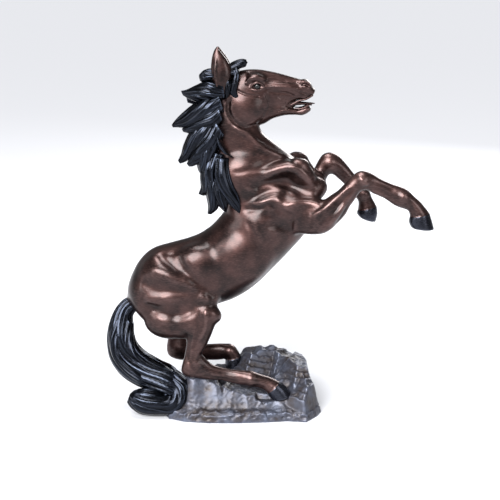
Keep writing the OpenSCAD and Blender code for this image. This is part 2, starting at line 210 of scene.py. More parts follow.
def addTube(clay, points, blend=3, carve=False):
    # points: x, y, z, radius
    fine = smoothRows(points, 4)
    reach = fine[:, 3].max() + blend + 3

    def shape(x, y, z):
        best = None
        for a, b in zip(fine, fine[1:]):
            way = b[:3] - a[:3]
            square = max(float(way @ way), 1e-6)
            t = np.clip(((x - a[0]) * way[0] + (y - a[1]) * way[1] + (z - a[2]) * way[2])
                        / square, 0, 1)
            far = np.sqrt((x - a[0] - t * way[0]) ** 2 + (y - a[1] - t * way[1]) ** 2
                          + (z - a[2] - t * way[2]) ** 2) - (a[3] + t * (b[3] - a[3]))
            best = far if best is None else np.minimum(best, far)
        return best.astype(np.float32)

    clay.apply(shape, fine[:, :3].min(0) - reach, fine[:, :3].max(0) + reach, blend, carve)


def addStroke(clay, stroke, side):
    # stroke: radius, how far it is cut in or stands out, (x, z) points, and whether it is cut
    radius, amount, points, carve = stroke
    fine = smoothRows([(x, z) for x, z in points], 3)
    line = []
    for n, (x, z) in enumerate(fine):
        y = clay.skin(x, z, side)
        if y is None:
            continue
        t = n / (len(fine) - 1)
        taper = 0.35 + 0.65 * math.sin(math.pi * min(max(t, 0.02), 0.98)) ** 0.6
        out = radius * taper - amount * taper if carve else amount * taper - radius * taper
        line.append((x, y + side * out, z, radius * taper))
    if len(line) > 1:
        addTube(clay, line, max(1.4, radius * 1.3), carve)


def addStrokes(clay, strokes, both=sides):
    for side in both:
        for stroke in strokes:
            addStroke(clay, stroke, side)


def netOf(clay):
    # surface net: one vertex in each cell that the surface crosses
    field = clay.field
    inside = field < 0
    corners = list(np.ndindex(2, 2, 2))
    across, deep, tall = [n - 1 for n in field.shape]
    count = sum(inside[i:across + i, j:deep + j, k:tall + k].astype(np.int8) for i, j, k in corners)
    cells = np.argwhere((count > 0) & (count < 8))
    number = np.full(count.shape, -1, np.int32)
    number[cells[:, 0], cells[:, 1], cells[:, 2]] = np.arange(len(cells))
    values = [field[cells[:, 0] + i, cells[:, 1] + j, cells[:, 2] + k] for i, j, k in corners]
    total, crossings = np.zeros((len(cells), 3)), np.zeros((len(cells), 1))
    for a in range(8):
        for b in range(a + 1, 8):
            if sum(abs(p - q) for p, q in zip(corners[a], corners[b])) != 1:
                continue
            crossed = (values[a] < 0) != (values[b] < 0)
            gap = np.where(crossed, values[a] - values[b], 1)
            t = np.clip(values[a] / gap, 0, 1)[:, None]
            point = np.array(corners[a]) + t * (np.array(corners[b]) - corners[a])
            total += np.where(crossed[:, None], point, 0)
            crossings += crossed[:, None]
    points = clay.low + clay.step * (cells + total / np.maximum(crossings, 1))
    quads = []
    for axis in range(3):
        one, two = [n for n in range(3) if n != axis]
        lower = [slice(1, -1)] * 3
        upper = [slice(1, -1)] * 3
        lower[axis], upper[axis] = slice(0, -1), slice(1, None)
        first, second = inside[tuple(lower)], inside[tuple(upper)]
        for entering in (True, False):
            at = np.argwhere((first & ~second) if entering else (~first & second))
            at[:, one] += 1
            at[:, two] += 1
            around = []
            for p, q in ((0, 0), (1, 0), (1, 1), (0, 1)):
                cell = at.copy()
                cell[:, one] -= 1 - p
                cell[:, two] -= 1 - q
                around.append(number[cell[:, 0], cell[:, 1], cell[:, 2]])
            quad = np.stack(around, 1)
            quads.append(quad if entering != (axis == 1) else quad[:, ::-1])
    quads = np.vstack(quads)
    # the points are drawn onto the surface twice
    h = clay.step * 0.5
    for turn in range(2):
        value = clay.sample(points)
        slope = np.stack([(clay.sample(points + way * h) - clay.sample(points - way * h)) / (2 * h)
                          for way in np.eye(3)], 1)
        square = np.maximum(np.sum(slope ** 2, 1), 0.05)
        move = slope * (value / square)[:, None]
        points = points - np.clip(move, -0.6 * clay.step, 0.6 * clay.step) * 0.8
    return points, quads


def meshOf(name, points, faces):
    mesh = bpy.data.meshes.new(name)
    mesh.vertices.add(len(points))
    mesh.vertices.foreach_set("co", (np.array(points, np.float32) * mm).ravel())
    faces = np.array(faces, np.int32)
    mesh.loops.add(faces.size)
    mesh.loops.foreach_set("vertex_index", faces.ravel())
    mesh.polygons.add(len(faces))
    mesh.polygons.foreach_set("loop_start", np.arange(len(faces)) * faces.shape[1])
    mesh.polygons.foreach_set("use_smooth", np.ones(len(faces), bool))
    mesh.update(calc_edges=True)
    mesh.validate()
    return mesh


def keepRelief(mesh, turns=24, strength=1.0):
    # how far each point stands out of the smoothed surface, in mm: ridges above 0, hollows below
    count = len(mesh.vertices)
    edges = np.zeros(len(mesh.edges) * 2, np.int32)
    mesh.edges.foreach_get("vertices", edges)
    edges = edges.reshape(-1, 2)
    points, normals = np.zeros(count * 3, np.float32), np.zeros(count * 3, np.float32)
    mesh.vertices.foreach_get("co", points)
    mesh.vertices.foreach_get("normal", normals)
    points, normals = points.reshape(-1, 3).astype(float) / mm, normals.reshape(-1, 3)
    degree = np.maximum(np.bincount(edges.ravel(), minlength=count), 1)[:, None]
    smooth = points.copy()
    for turn in range(turns):
        total = np.zeros_like(smooth)
        for n in range(3):
            total[:, n] = (np.bincount(edges[:, 0], smooth[edges[:, 1], n], count)
                           + np.bincount(edges[:, 1], smooth[edges[:, 0], n], count))
        smooth = 0.5 * smooth + 0.5 * total / degree
    relief = np.sum((points - smooth) * normals, 1) * strength
    layer = mesh.attributes.get("relief") or mesh.attributes.new("relief", "FLOAT", "POINT")
    layer.data.foreach_set("value", relief.astype(np.float32))


def pieceOf(name, data):
    piece = bpy.data.objects.new(name, data)
    bpy.context.scene.collection.objects.link(piece)
    return piece


def finishPiece(piece, material, slot, *nodes):
    piece.data.materials.clear()
    piece.data.materials.append(material)
    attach(piece, "root")
    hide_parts(*nodes)
    print(piece.name, "has", sum(len(p.vertices) - 2 for p in piece.data.polygons), "triangles")


# torso, neck, head and legs are modelled as one, then cut at the seams
horseBlock = {"low": (-236, -66, 20), "high": (272, 66, 566), "step": 1.4, "softBody": 4, "softLegs": 2}
headBlock = {"low": (-96, -34, 452), "high": (84, 34, 572), "step": 0.8, "firstNeckRow": 14,
             "reliefTurns": 30, "reliefStrength": 0.6}
bodyShape = {
    # front or upper edge x, z, rear or lower edge x, z, y of the middle, half width
    "rows": [
        [-226, 188, -214, 168, 0, 12], [-223, 212, -200, 150, 0, 34], [-207, 246, -178, 146, 0, 45],
        [-184, 268, -150, 150, 0, 50], [-150, 279, -112, 162, 0, 51], [-116, 289, -80, 176, 0, 51],
        [-92, 303, -50, 187, 0, 51], [-76, 319, -18, 208, 0, 51], [-66, 333, 14, 240, 0, 49],
        [-66, 346, 42, 270, 0, 47], [-69, 358, 66, 300, 0, 44], [-72, 370, 85, 346, 0, 40],
        [-78, 386, 80, 380, 0, 36], [-85, 410, 60, 402, 0, 32],
        [-89, 436, 36, 425, 0, 28], [-90, 462, 10, 445, 0, 25], [-88, 486, -6, 458, 0, 23],
        [-82, 510, -10, 468, 0, 21], [-68, 534, -18, 478, 0, 19]],
    # x, y, z, three radii, tilt
    "muscles": [
        (-162, 25, 228, 38, 26, 40, 40), (-150, 30, 214, 36, 23, 34, -20), (-118, 34, 202, 34, 19, 24, 8),
        (-92, 38, 200, 17, 14, 16, 0), (-158, 36, 166, 24, 17, 24, 30), (-128, 38, 166, 22, 17, 20, 0),
        (-112, 30, 250, 40, 22, 32, 30), (-40, 28, 262, 56, 25, 44, 38), (-10, 26, 312, 40, 24, 34, 60),
        (24, 28, 402, 44, 18, 15, 18), (52, 28, 396, 28, 18, 20, -30), (40, 27, 350, 40, 22, 24, 20),
        (6, 30, 356, 30, 19, 20, 30), (-36, 22, 390, 36, 19, 40, 60), (66, 17, 368, 22, 20, 32, -70),
        (60, 18, 330, 20, 20, 24, 50), (-157, 29, 154, 40, 22, 29, -4), (-132, 34, 150, 26, 18, 22, 0)],
    # radius, how far it stands out or is cut in, points (x, z), whether it is cut
    "strokes": [
        (4.5, 2.4, [(-46, 470), (-26, 455), (-7, 437), (12, 428), (32, 420)], False),
        (3.4, 1.8, [(-16, 455), (-5, 450), (8, 440)], True),
        (3, 1.6, [(-50, 402), (-38, 403), (-7, 412), (25, 422), (48, 417), (66, 402), (82, 380)], True),
        (15, 3, [(-8, 374), (6, 380), (24, 385), (42, 381), (58, 370)], True),
        (4.5, 2, [(-28, 376), (-15, 370), (2, 376), (24, 372), (46, 364)], False),
        (2.4, 1.6, [(-34, 349), (-20, 352), (-7, 356), (10, 363), (16, 363), (22, 355), (30, 347),
                    (48, 340)], False),
        (4, 2.1, [(-30, 342), (-10, 346), (8, 352), (20, 342), (36, 334)], True),
        (5, 2.4, [(32, 350), (55, 354), (80, 352)], False),
        (6, 1.8, [(6, 318), (20, 318), (34, 309)], True),
        (8, 1.2, [(-168, 268), (-152, 258), (-140, 246), (-134, 236)], True),
        (7, 1.9, [(-138, 262), (-128, 246), (-120, 234), (-108, 221), (-98, 213), (-84, 205)], True),
        (9, 1.4, [(-176, 243), (-160, 238), (-142, 230), (-121, 220), (-100, 210)], False),
        (10, 1.6, [(-192, 222), (-174, 216), (-156, 212), (-136, 207), (-116, 203)], True),
        (8, 1.4, [(-186, 196), (-168, 196), (-150, 200), (-124, 202), (-98, 198)], False),
        (7, 1.7, [(-188, 184), (-172, 177), (-156, 173), (-138, 173), (-122, 179)], True),
        (2.4, 1.3, [(-164, 152), (-150, 146), (-138, 150), (-126, 160)], True),
        (3, 0.7, [(-30, 322), (-20, 306), (-16, 288)], True),
        (3, 0.7, [(-10, 318), (-2, 302), (4, 286)], True)],
}
foreLegRight = {
    "rows": [
        [60, 368, 44, 302, 30, 16], [87, 358, 76, 302, 40, 18], [100, 366, 96, 307, 43, 16],
        [115, 377, 114, 324, 44, 14.5], [130, 395, 131, 350, 44, 12.5], [143, 404, 142, 368, 44, 12],
        [154, 405, 150, 374, 44, 12], [165, 401, 158, 374, 44, 10], [178, 393, 166, 369, 44, 8.5],
        [196, 385, 184, 361, 44, 8], [208, 381, 197, 352, 44, 9.5], [219, 376, 207, 347, 44, 11],
        [230, 366, 217, 344, 44, 10.5], [242, 355, 223, 341, 44, 11], [256, 338, 225, 332, 44, 13.5]],
    "hoof": [[256, 338, 225, 332, 44, 14], [260, 326, 224, 323, 44, 15.2], [264, 312, 228, 315, 44, 16]],
    "muscles": [(104, 46, 342, 24, 13, 17, 20), (126, 46, 366, 20, 10, 13, 50),
                (150, 44, 391, 12, 13.5, 12, -10), (213, 44, 364, 9, 12, 11, -30)],
    "strokes": [
        (4, 2, [(71, 334), (85, 343), (99, 355), (112, 367), (124, 379)], False),
        (2.6, 1.4, [(84, 324), (98, 337), (111, 351), (122, 365), (134, 378)], True),
        (3, 1.6, [(98, 322), (110, 337), (120, 352)], False),
        (2, 1.1, [(108, 320), (120, 340), (130, 356), (140, 372)], True),
        (2, 1.1, [(66, 312), (72, 326), (70, 340)], True),
        (1.9, 1.1, [(166, 380), (176, 376), (190, 370), (202, 362)], True),
        (1.6, 0.9, [(166, 388), (180, 382), (196, 375)], True),
        (2.2, 1, [(143, 398), (150, 390), (158, 386)], False),
        (1.6, 0.9, [(140, 384), (150, 380), (160, 384)], True),
        (1.8, 1, [(224, 358), (226, 350), (228, 344)], True)],
}
foreLegLeft = {
    "rows": [
        [46, 374, 56, 300, 30, 18], [68, 383, 80, 320, 38, 17], [78, 391, 91, 345, 42, 15],
        [85, 405, 98, 372, 42, 12.5], [93, 416, 103, 382, 42, 12.5], [106, 419, 106, 383, 42, 12.5],
        [119, 413, 110, 382, 42, 11], [131, 400, 118, 375, 42, 9], [145, 383, 131, 363, 42, 8.5],
        [158, 367, 142, 351, 42, 8.5], [168, 355, 148, 343, 42, 10.5], [174, 344, 152, 336, 42, 11],
        [182, 330, 151, 323, 42, 13.5]],
    "hoof": [[182, 330, 151, 323, 42, 13.8], [184, 317, 150, 317, 42, 15], [181, 304, 154, 312, 42, 15.5]],
    "muscles": [(80, 42, 362, 16, 11, 22, 70), (104, 42, 402, 12, 13.5, 12, 0),
                (162, 42, 350, 9, 11.5, 8, -40)],
    "strokes": [
        (2.2, 1.2, [(82, 340), (86, 358), (92, 374), (98, 386)], True),
        (3, 1.6, [(74, 350), (80, 366), (86, 382)], False),
        (1.9, 1.1, [(113, 390), (124, 382), (136, 370), (148, 356)], True),
        (2.2, 1, [(96, 408), (104, 402), (112, 400)], False),
        (1.8, 1, [(154, 340), (158, 334), (160, 330)], True)],
}
hindLegRight = {
    "rows": [
        [-94, 214, -146, 178, 26, 20], [-82, 197, -144, 154, 38, 18], [-79, 178, -134, 148, 42, 17],
        [-80, 160, -126, 138, 44, 16], [-87, 138, -128, 122, 45, 13], [-98, 114, -132, 100, 45, 11],
        [-104, 106, -135, 88, 45, 11], [-101, 101, -138, 76, 45, 11.5], [-95, 94, -133, 67, 45, 11.5],
        [-87, 87, -118, 63, 46, 10], [-78, 83, -92, 60, 46, 8.8], [-62, 79, -68, 58, 46, 8.2],
        [-42, 77, -50, 53, 47, 8.8], [-25, 75, -32, 50, 47, 10.5], [-9, 70, -16, 48, 48, 10.8],
        [7, 65, -6, 45, 48, 10.5], [22, 58, 2, 38, 49, 12.2]],
    "hoof": [[22, 58, 2, 38, 49, 12.8], [33, 49, 6, 32, 49, 14], [42, 35, 11, 27, 49, 15]],
    "muscles": [(-92, 45, 172, 16, 16, 22, 70), (-118, 44, 152, 16, 14, 20, 60),
                (-120, 45, 86, 13, 12.5, 14, 40), (-24, 48, 62, 10, 12, 12, 0)],
    "strokes": [
        (3, 1.6, [(-96, 180), (-96, 166), (-98, 152), (-104, 136)], False),
        (2.4, 1.3, [(-108, 178), (-108, 162), (-110, 146), (-114, 130), (-118, 116)], True),
        (2.2, 1.2, [(-120, 138), (-124, 122), (-126, 106), (-130, 92)], True),
        (2.4, 1.1, [(-112, 104), (-114, 94), (-106, 88)], False),
        (2, 1.1, [(-124, 96), (-118, 84), (-110, 78)], True),
        (2, 1.1, [(-98, 70), (-84, 67), (-66, 64), (-46, 60)], True),
        (1.5, 0.8, [(-86, 78), (-68, 74), (-48, 71)], True),
        (2, 1.1, [(-22, 52), (-12, 54), (-2, 50)], True)],
}
hindLegLeft = {
    "rows": [
        [-94, 214, -146, 178, 24, 20], [-97, 190, -160, 146, 36, 18], [-109, 165, -159, 127, 39, 17],
        [-119, 140, -162, 112, 40, 14], [-123, 120, -165, 100, 40, 11.5], [-123, 104, -167, 84, 40, 11],
        [-119, 98, -164, 71, 40, 11.5], [-111, 94, -148, 63, 40, 11], [-99, 91, -116, 62, 40, 9.5],
        [-80, 92, -90, 62, 40, 8.8], [-64, 91, -73, 63, 40, 9.5], [-50, 85, -68, 66, 40, 11],
        [-41, 70, -67, 64, 40, 12.2]],
    "hoof": [[-41, 70, -67, 64, 40, 12.8], [-42, 60, -68, 57, 40, 14], [-44, 50, -67, 49, 40, 15]],
    "muscles": [(-120, 42, 158, 24, 16, 22, 60), (-146, 40, 88, 14, 12, 13, 30),
                (-60, 40, 80, 9, 11.5, 10, 0)],
    "strokes": [
        (2.4, 1.3, [(-128, 168), (-134, 150), (-140, 134), (-146, 120)], True),
        (3, 1.6, [(-112, 172), (-116, 156), (-124, 138)], False),
        (2, 1.1, [(-126, 76), (-112, 74), (-98, 73), (-82, 73)], True),
        (2, 1.1, [(-154, 100), (-148, 88), (-138, 80)], True)],
}
headShape = {
    "skull": [
        [-74, 530, -20, 474, 0, 19], [-56, 549, -26, 462, 0, 20.5], [-36, 556, -14, 468, 0, 20],
        [-14, 557, 0, 474, 0, 17.5], [6, 554, 14, 486, 0, 14.5], [24, 550, 27, 495, 0, 12.5],
        [42, 545, 40, 504, 0, 11.5], [56, 541, 53, 510, 0, 12.5], [67, 536, 63, 514, 0, 12],
        [75, 527, 71, 517, 0, 8.5]],
    "jaw": [
        [-14, 506, -4, 474, 0, 13], [8, 508, 10, 480, 0, 12.5], [26, 504, 28, 485, 0, 10.5],
        [42, 498, 44, 486, 0, 9], [56, 496, 57, 486, 0, 9], [66, 500, 68, 493, 0, 7]],
    "mouth": [[34, 504, 36, 500, 0, 30], [48, 510, 50, 500, 0, 30], [62, 515, 64, 499, 0, 30],
              [84, 522, 88, 500, 0, 30]],
    "muscles": [(-32, 12, 497, 27, 12, 27, 0), (-16, 10, 545, 14, 9, 7, -8), (28, 8, 530, 26, 6.5, 9, -8),
                (61, 6, 533, 9, 7, 8, -35), (58, 4, 515, 10, 7, 4, -20), (60, 3, 494, 9, 6.5, 5, 20)],
    "strokes": [
        (1.8, 1, [(-4, 531), (8, 532), (21, 532), (34, 531), (46, 529)], False),
        (2.6, 1.4, [(-3, 541), (6, 541), (20, 541), (33, 540), (46, 538)], True),
        (2, 1.1, [(4, 524), (18, 523), (32, 521), (42, 517)], True),
        (1.8, 1, [(-2, 520), (4, 508), (2, 496), (-4, 484)], True),
        (3, 2, [(-57, 512), (-60, 500), (-57, 488), (-48, 477), (-34, 470), (-18, 472)], True),
        (1.2, 0.7, [(18, 516), (24, 512), (26, 505)], True),
        (1.1, 0.7, [(26, 515), (31, 511), (31, 505)], True),
        (1.3, 0.8, [(38, 498), (26, 496), (14, 492)], True),
        (1.2, 0.7, [(50, 524), (56, 522), (62, 520)], True),
        (1.6, 0.9, [(-52, 530), (-40, 524), (-28, 520), (-12, 518)], True)],
    # under the tongue, and the tongue's root, which closes the back of the mouth
    "underTongue": [[44, 506, 46, 495, 0, 5], [56, 504, 58, 492, 0, 6], [66, 506, 68, 498, 0, 3.5]],
    "tongueRoot": (38, 0, 504, 10, 6, 7, 10),
    "socket": (-15, 18.5, 533, 8, 4.6, 4.4, -4),
    # blend, whether it is cut, points (x, y, z, radius) on the left side
    "lines": {
        "upperLid": (1.2, False, [(-27, 16.2, 528.5, 0.9), (-21, 18.2, 536, 1.6), (-14, 18.4, 538.6, 1.8),
                                  (-7, 16.6, 536, 1.4), (-3, 14.6, 530.5, 0.8)]),
        "lowerLid": (1.2, False, [(-27, 16, 528.5, 0.9), (-19, 17.9, 527, 1.5), (-11, 17.2, 527.2, 1.4),
                                  (-3, 14.8, 530.5, 0.8)]),
        "brow": (5, False, [(-31, 15, 538, 1), (-24, 16.2, 545, 1.9), (-14, 15.8, 547, 2.1),
                            (-4, 12.6, 543, 1.2)]),
        "nostril": (1.2, True, [(56, 11.4, 534, 1.6), (60, 12.6, 535.5, 2.6), (65, 11.6, 533, 2.2)]),
        "nostrilRim": (1, False, [(52, 10.4, 535, 0.8), (57, 11.2, 538.8, 1.3), (64, 10.2, 537.5, 1.4),
                                  (69, 9, 531.5, 1.2), (64, 11.6, 529, 1.2), (57, 12, 531.5, 1)]),
        "upperLip": (1, False, [(38, 10.4, 503, 1), (50, 9.8, 509, 1.4), (62, 9, 512, 1.6),
                                (72, 5, 517, 1.4)]),
        "lowerLip": (1, False, [(44, 8.6, 497, 0.8), (56, 8.6, 497, 1.4), (66, 6, 502, 1.4),
                                (70, 0, 502, 1.6)])},
}
legs = {"foreleg_right": foreLegRight, "foreleg_left": foreLegLeft,
        "hind_leg_right": hindLegRight, "hind_leg_left": hindLegLeft}
for name, leg in legs.items():
    leg["side"] = -1 if name.endswith("right") else 1
    for row in leg["rows"] + leg["hoof"]:
        row[4] *= leg["side"]


def modelHead(clay):
    addLoft(clay, headShape["skull"], 6)
    addLoft(clay, headShape["jaw"], 4)
    for egg in headShape["muscles"]:
        addEgg(clay, egg, 5)
    addLoft(clay, headShape["mouth"], 1.5, carve=True)
    addLoft(clay, headShape["underTongue"], 1.5, carve=True)
    addEgg(clay, headShape["tongueRoot"], 2, mirrored=False)
    addStrokes(clay, headShape["strokes"])
    for side in sides:
        x, y, z, *size = headShape["socket"]
        addEgg(clay, (x, side * y, z, *size), 2, carve=True, mirrored=False)
        for blend, carve, points in headShape["lines"].values():
            addTube(clay, [(x, side * y, z, radius) for x, y, z, radius in points], blend, carve)


def modelHorse():
    clay = Clay(horseBlock)
    addLoft(clay, bodyShape["rows"], 8)
    for egg in bodyShape["muscles"]:
        addEgg(clay, egg, 9)
    for leg in legs.values():
        addLoft(clay, leg["rows"], 9)
        for x, y, z, *size in leg["muscles"]:
            addEgg(clay, (x, y * leg["side"], z, *size), 5, mirrored=False)
    print("body and legs are blocked out")
    addStrokes(clay, bodyShape["strokes"])
    clay.soften(horseBlock["softBody"])
    for leg in legs.values():
        addStrokes(clay, leg["strokes"], [leg["side"]])
    clay.soften(horseBlock["softLegs"])
    for leg in legs.values():
        addLoft(clay, leg["hoof"], 1.2, steps=2, round=0.12)
    modelHead(clay)
    print("muscles and creases are cut")
    return clay


def modelHeadFine():
    # the head again on a finer grid, with the top of the neck that it is cut from
    clay = Clay(headBlock)
    addLoft(clay, bodyShape["rows"][headBlock["firstNeckRow"]:], 8)
    modelHead(clay)
    return clay


def seamOf(row):
    # point on the cut between two castings, and its direction along the casting
    xa, za, xb, zb = row[:4]
    tall = math.hypot(xa - xb, za - zb)
    point = np.array([(xa + xb) / 2, row[4], (za + zb) / 2])
    return point, np.array([(za - zb) / tall, 0, (xb - xa) / tall])


def anywhere(x, y, z):
    return True


def cutOff(full, row, within=anywhere):
    # cuts a shell along a row, where within allows it, and returns what lies beyond
    point, normal = [Vector(v) for v in seamOf(row)]
    allowed = {f for f in full.faces if within(*(f.calc_center_median() / mm))}
    geometry = set(allowed)
    for f in allowed:
        geometry.update(f.edges)
        geometry.update(f.verts)
    bmesh.ops.bisect_plane(full, geom=list(geometry), dist=1e-7, plane_co=point * mm,
                           plane_no=normal)
    full.faces.index_update()
    past = set()
    for f in full.faces:
        middle = f.calc_center_median() / mm
        if (middle - point).dot(normal) > 0 and within(*middle):
            past.add(f.index)
    beyond = full.copy()
    bmesh.ops.delete(beyond, geom=[f for f in beyond.faces if f.index not in past],
                     context="FACES")
    bmesh.ops.delete(full, geom=[f for f in full.faces if f.index in past], context="FACES")
    return beyond


def closedPiece(name, shell):
    # closes the cut ends with flat caps that have sharp rims
    rims = [e for e in shell.edges if e.is_boundary]
    for f in shell.faces:
        f.smooth = True
    caps = bmesh.ops.holes_fill(shell, edges=rims, sides=0)["faces"]
    for e in rims:
        e.smooth = False
    bmesh.ops.triangulate(shell, faces=caps)
    mesh = bpy.data.meshes.new(name)
    shell.to_mesh(mesh)
    shell.free()
    return pieceOf(name, mesh)


def shellOf(clay, turns=24, strength=1.0):
    points, quads = netOf(clay)
    mesh = meshOf("skin", points, quads)
    keepRelief(mesh, turns, strength)
    shell = bmesh.new()
    shell.from_mesh(mesh)
    bpy.data.meshes.remove(mesh)
    return shell


seams = {
    "neck": [-70, 370, 88, 346, 0], "head": [-70, 536, -16, 476, 0], "headAbove": 452,
    # the row that each leg is cut at
    "legRows": {"foreleg_right": 1, "foreleg_left": 3, "hind_leg_right": 3, "hind_leg_left": 3},
    # a fore leg's cut stays under a height; a hind leg's cut stays behind the belly or under the hock
    "foreUnder": 430, "hindBehind": -60, "hindUnder": 120}


def legRegion(name):
    def within(x, y, z):
        if y * legs[name]["side"] <= 0:
            return False
        if name.startswith("foreleg"):
            return z < seams["foreUnder"]
        return x < seams["hindBehind"] or z < seams["hindUnder"]

    return within


def headRegion(x, y, z):
    return z > seams["headAbove"]


def castHorse():
    torso = shellOf(modelHorse())
    castings = {}
    for name, row in seams["legRows"].items():
        leg = cutOff(torso, legs[name]["rows"][row], legRegion(name))
        hoof = cutOff(leg, legs[name]["hoof"][0])
        castings[name] = leg
        castings[name.replace("foreleg", "hoof_fore").replace("hind_leg", "hoof_hind")] = hoof
    neck = cutOff(torso, seams["neck"])
    cutOff(neck, seams["head"], headRegion).free()
    head = shellOf(modelHeadFine(), headBlock["reliefTurns"], headBlock["reliefStrength"])
    castings.update(torso=torso, neck=neck, head=cutOff(head, seams["head"]))
    head.free()
    return {name: closedPiece(name + "_skin", shell) for name, shell in castings.items()}


eyeballs = {"place": (-14.5, 13.6, 532.6), "radius": 5.6, "cornea": 0.5, "look": (0.25, 1, 0.12)}
tongueShape = {
    "block": {"low": (14, -12, 490), "high": (84, 12, 514), "step": 0.6},
    "rows": [[24, 506, 26, 498, 0, 5], [40, 507, 41, 500, 0, 6], [54, 507, 54, 501.5, 0, 5.5],
             [66, 506, 66, 502, 0, 4], [76, 505, 76, 503.4, 0, 1.5]],
    "groove": [(30, 0, 509.5, 1), (46, 0, 510, 1.4), (62, 0, 508.5, 0.8)]}
earShape = {
    # the block of the left ear, from the middle outwards
    "block": {"low": (-94, 2, 514), "high": (-46, 30, 596), "step": 0.6},
    "rows": [[-61, 522, -80, 527, 16, 8], [-55.5, 540, -84.5, 545, 17, 9.5], [-54, 556, -86, 560, 17, 9],
             [-60, 572, -84.5, 575, 17, 7], [-67.5, 582, -82, 584, 17, 4.5], [-74, 590, -78, 590, 17, 1.6]],
    "bowl": [[-61, 540, -72, 545, 9, 4], [-59, 555, -76, 559, 9.5, 5.5], [-64, 570, -77, 573, 11, 4],
             [-71, 580, -78, 582, 13, 1.6]],
    "rib": [(-76, 25.6, 532, 1.6), (-79, 25.6, 548, 1.76), (-79, 25.6, 562, 1.6), (-78, 21, 576, 0.96)]}


def makeEye(side):
    x, y, z = eyeballs["place"]
    ball = bmesh.new()
    bmesh.ops.create_uvsphere(ball, u_segments=48, v_segments=32, radius=eyeballs["radius"])
    ahead, outwards, up = eyeballs["look"]
    look = Vector((ahead, side * outwards, up)).normalized()
    for v in ball.verts:
        # the cornea swells where the eye looks
        facing = max(v.co.normalized().dot(look), 0)
        v.co *= 1 + eyeballs["cornea"] / eyeballs["radius"] * max(0, facing - 0.75) * 2
        v.co = (v.co + Vector((x, side * y, z))) * mm
    for f in ball.faces:
        f.smooth = True
    mesh = bpy.data.meshes.new("eye")
    ball.to_mesh(mesh)
    ball.free()
    return mesh


def skinOf(name, clay, reliefTurns):
    points, quads = netOf(clay)
    mesh = meshOf(name, points, quads)
    keepRelief(mesh, reliefTurns)
    return mesh


def makeTongue():
    clay = Clay(tongueShape["block"])
    addLoft(clay, tongueShape["rows"], 2)
    addTube(clay, tongueShape["groove"], 1.4, carve=True)
    return skinOf("tongue", clay, 12)


def mirroredRows(rows, side):
    return [[*row[:4], row[4] * side, row[5]] for row in rows]


def makeEar(side):
    (x, near, z), (farX, far, farZ) = earShape["block"]["low"], earShape["block"]["high"]
    low, high = sorted((side * near, side * far))
    clay = Clay({"low": (x, low, z), "high": (farX, high, farZ), "step": earShape["block"]["step"]})
    addLoft(clay, mirroredRows(earShape["rows"], side), 3)
    # the bowl of the ear opens forwards and inwards, so its convex back faces outwards
    addLoft(clay, mirroredRows(earShape["bowl"], side), 2, carve=True)
    addTube(clay, [(x, side * y, z, radius) for x, y, z, radius in earShape["rib"]], 3)
    return skinOf("ear", clay, 16)


def node(tree, kind, settings=(), inputs=()):
    made = tree.nodes.new(kind)
    for key, value in dict(settings).items():
        setattr(made, key, value)
    for key, value in dict(inputs).items():
        if isinstance(value, bpy.types.NodeSocket):
            tree.links.new(value, made.inputs[key])
        else:
            made.inputs[key].default_value = value
    return made


def socketOf(tree, name, kind, value):
    made = tree.interface.new_socket(name, in_out="INPUT", socket_type=kind)
    made.default_value = value
    return made.identifier


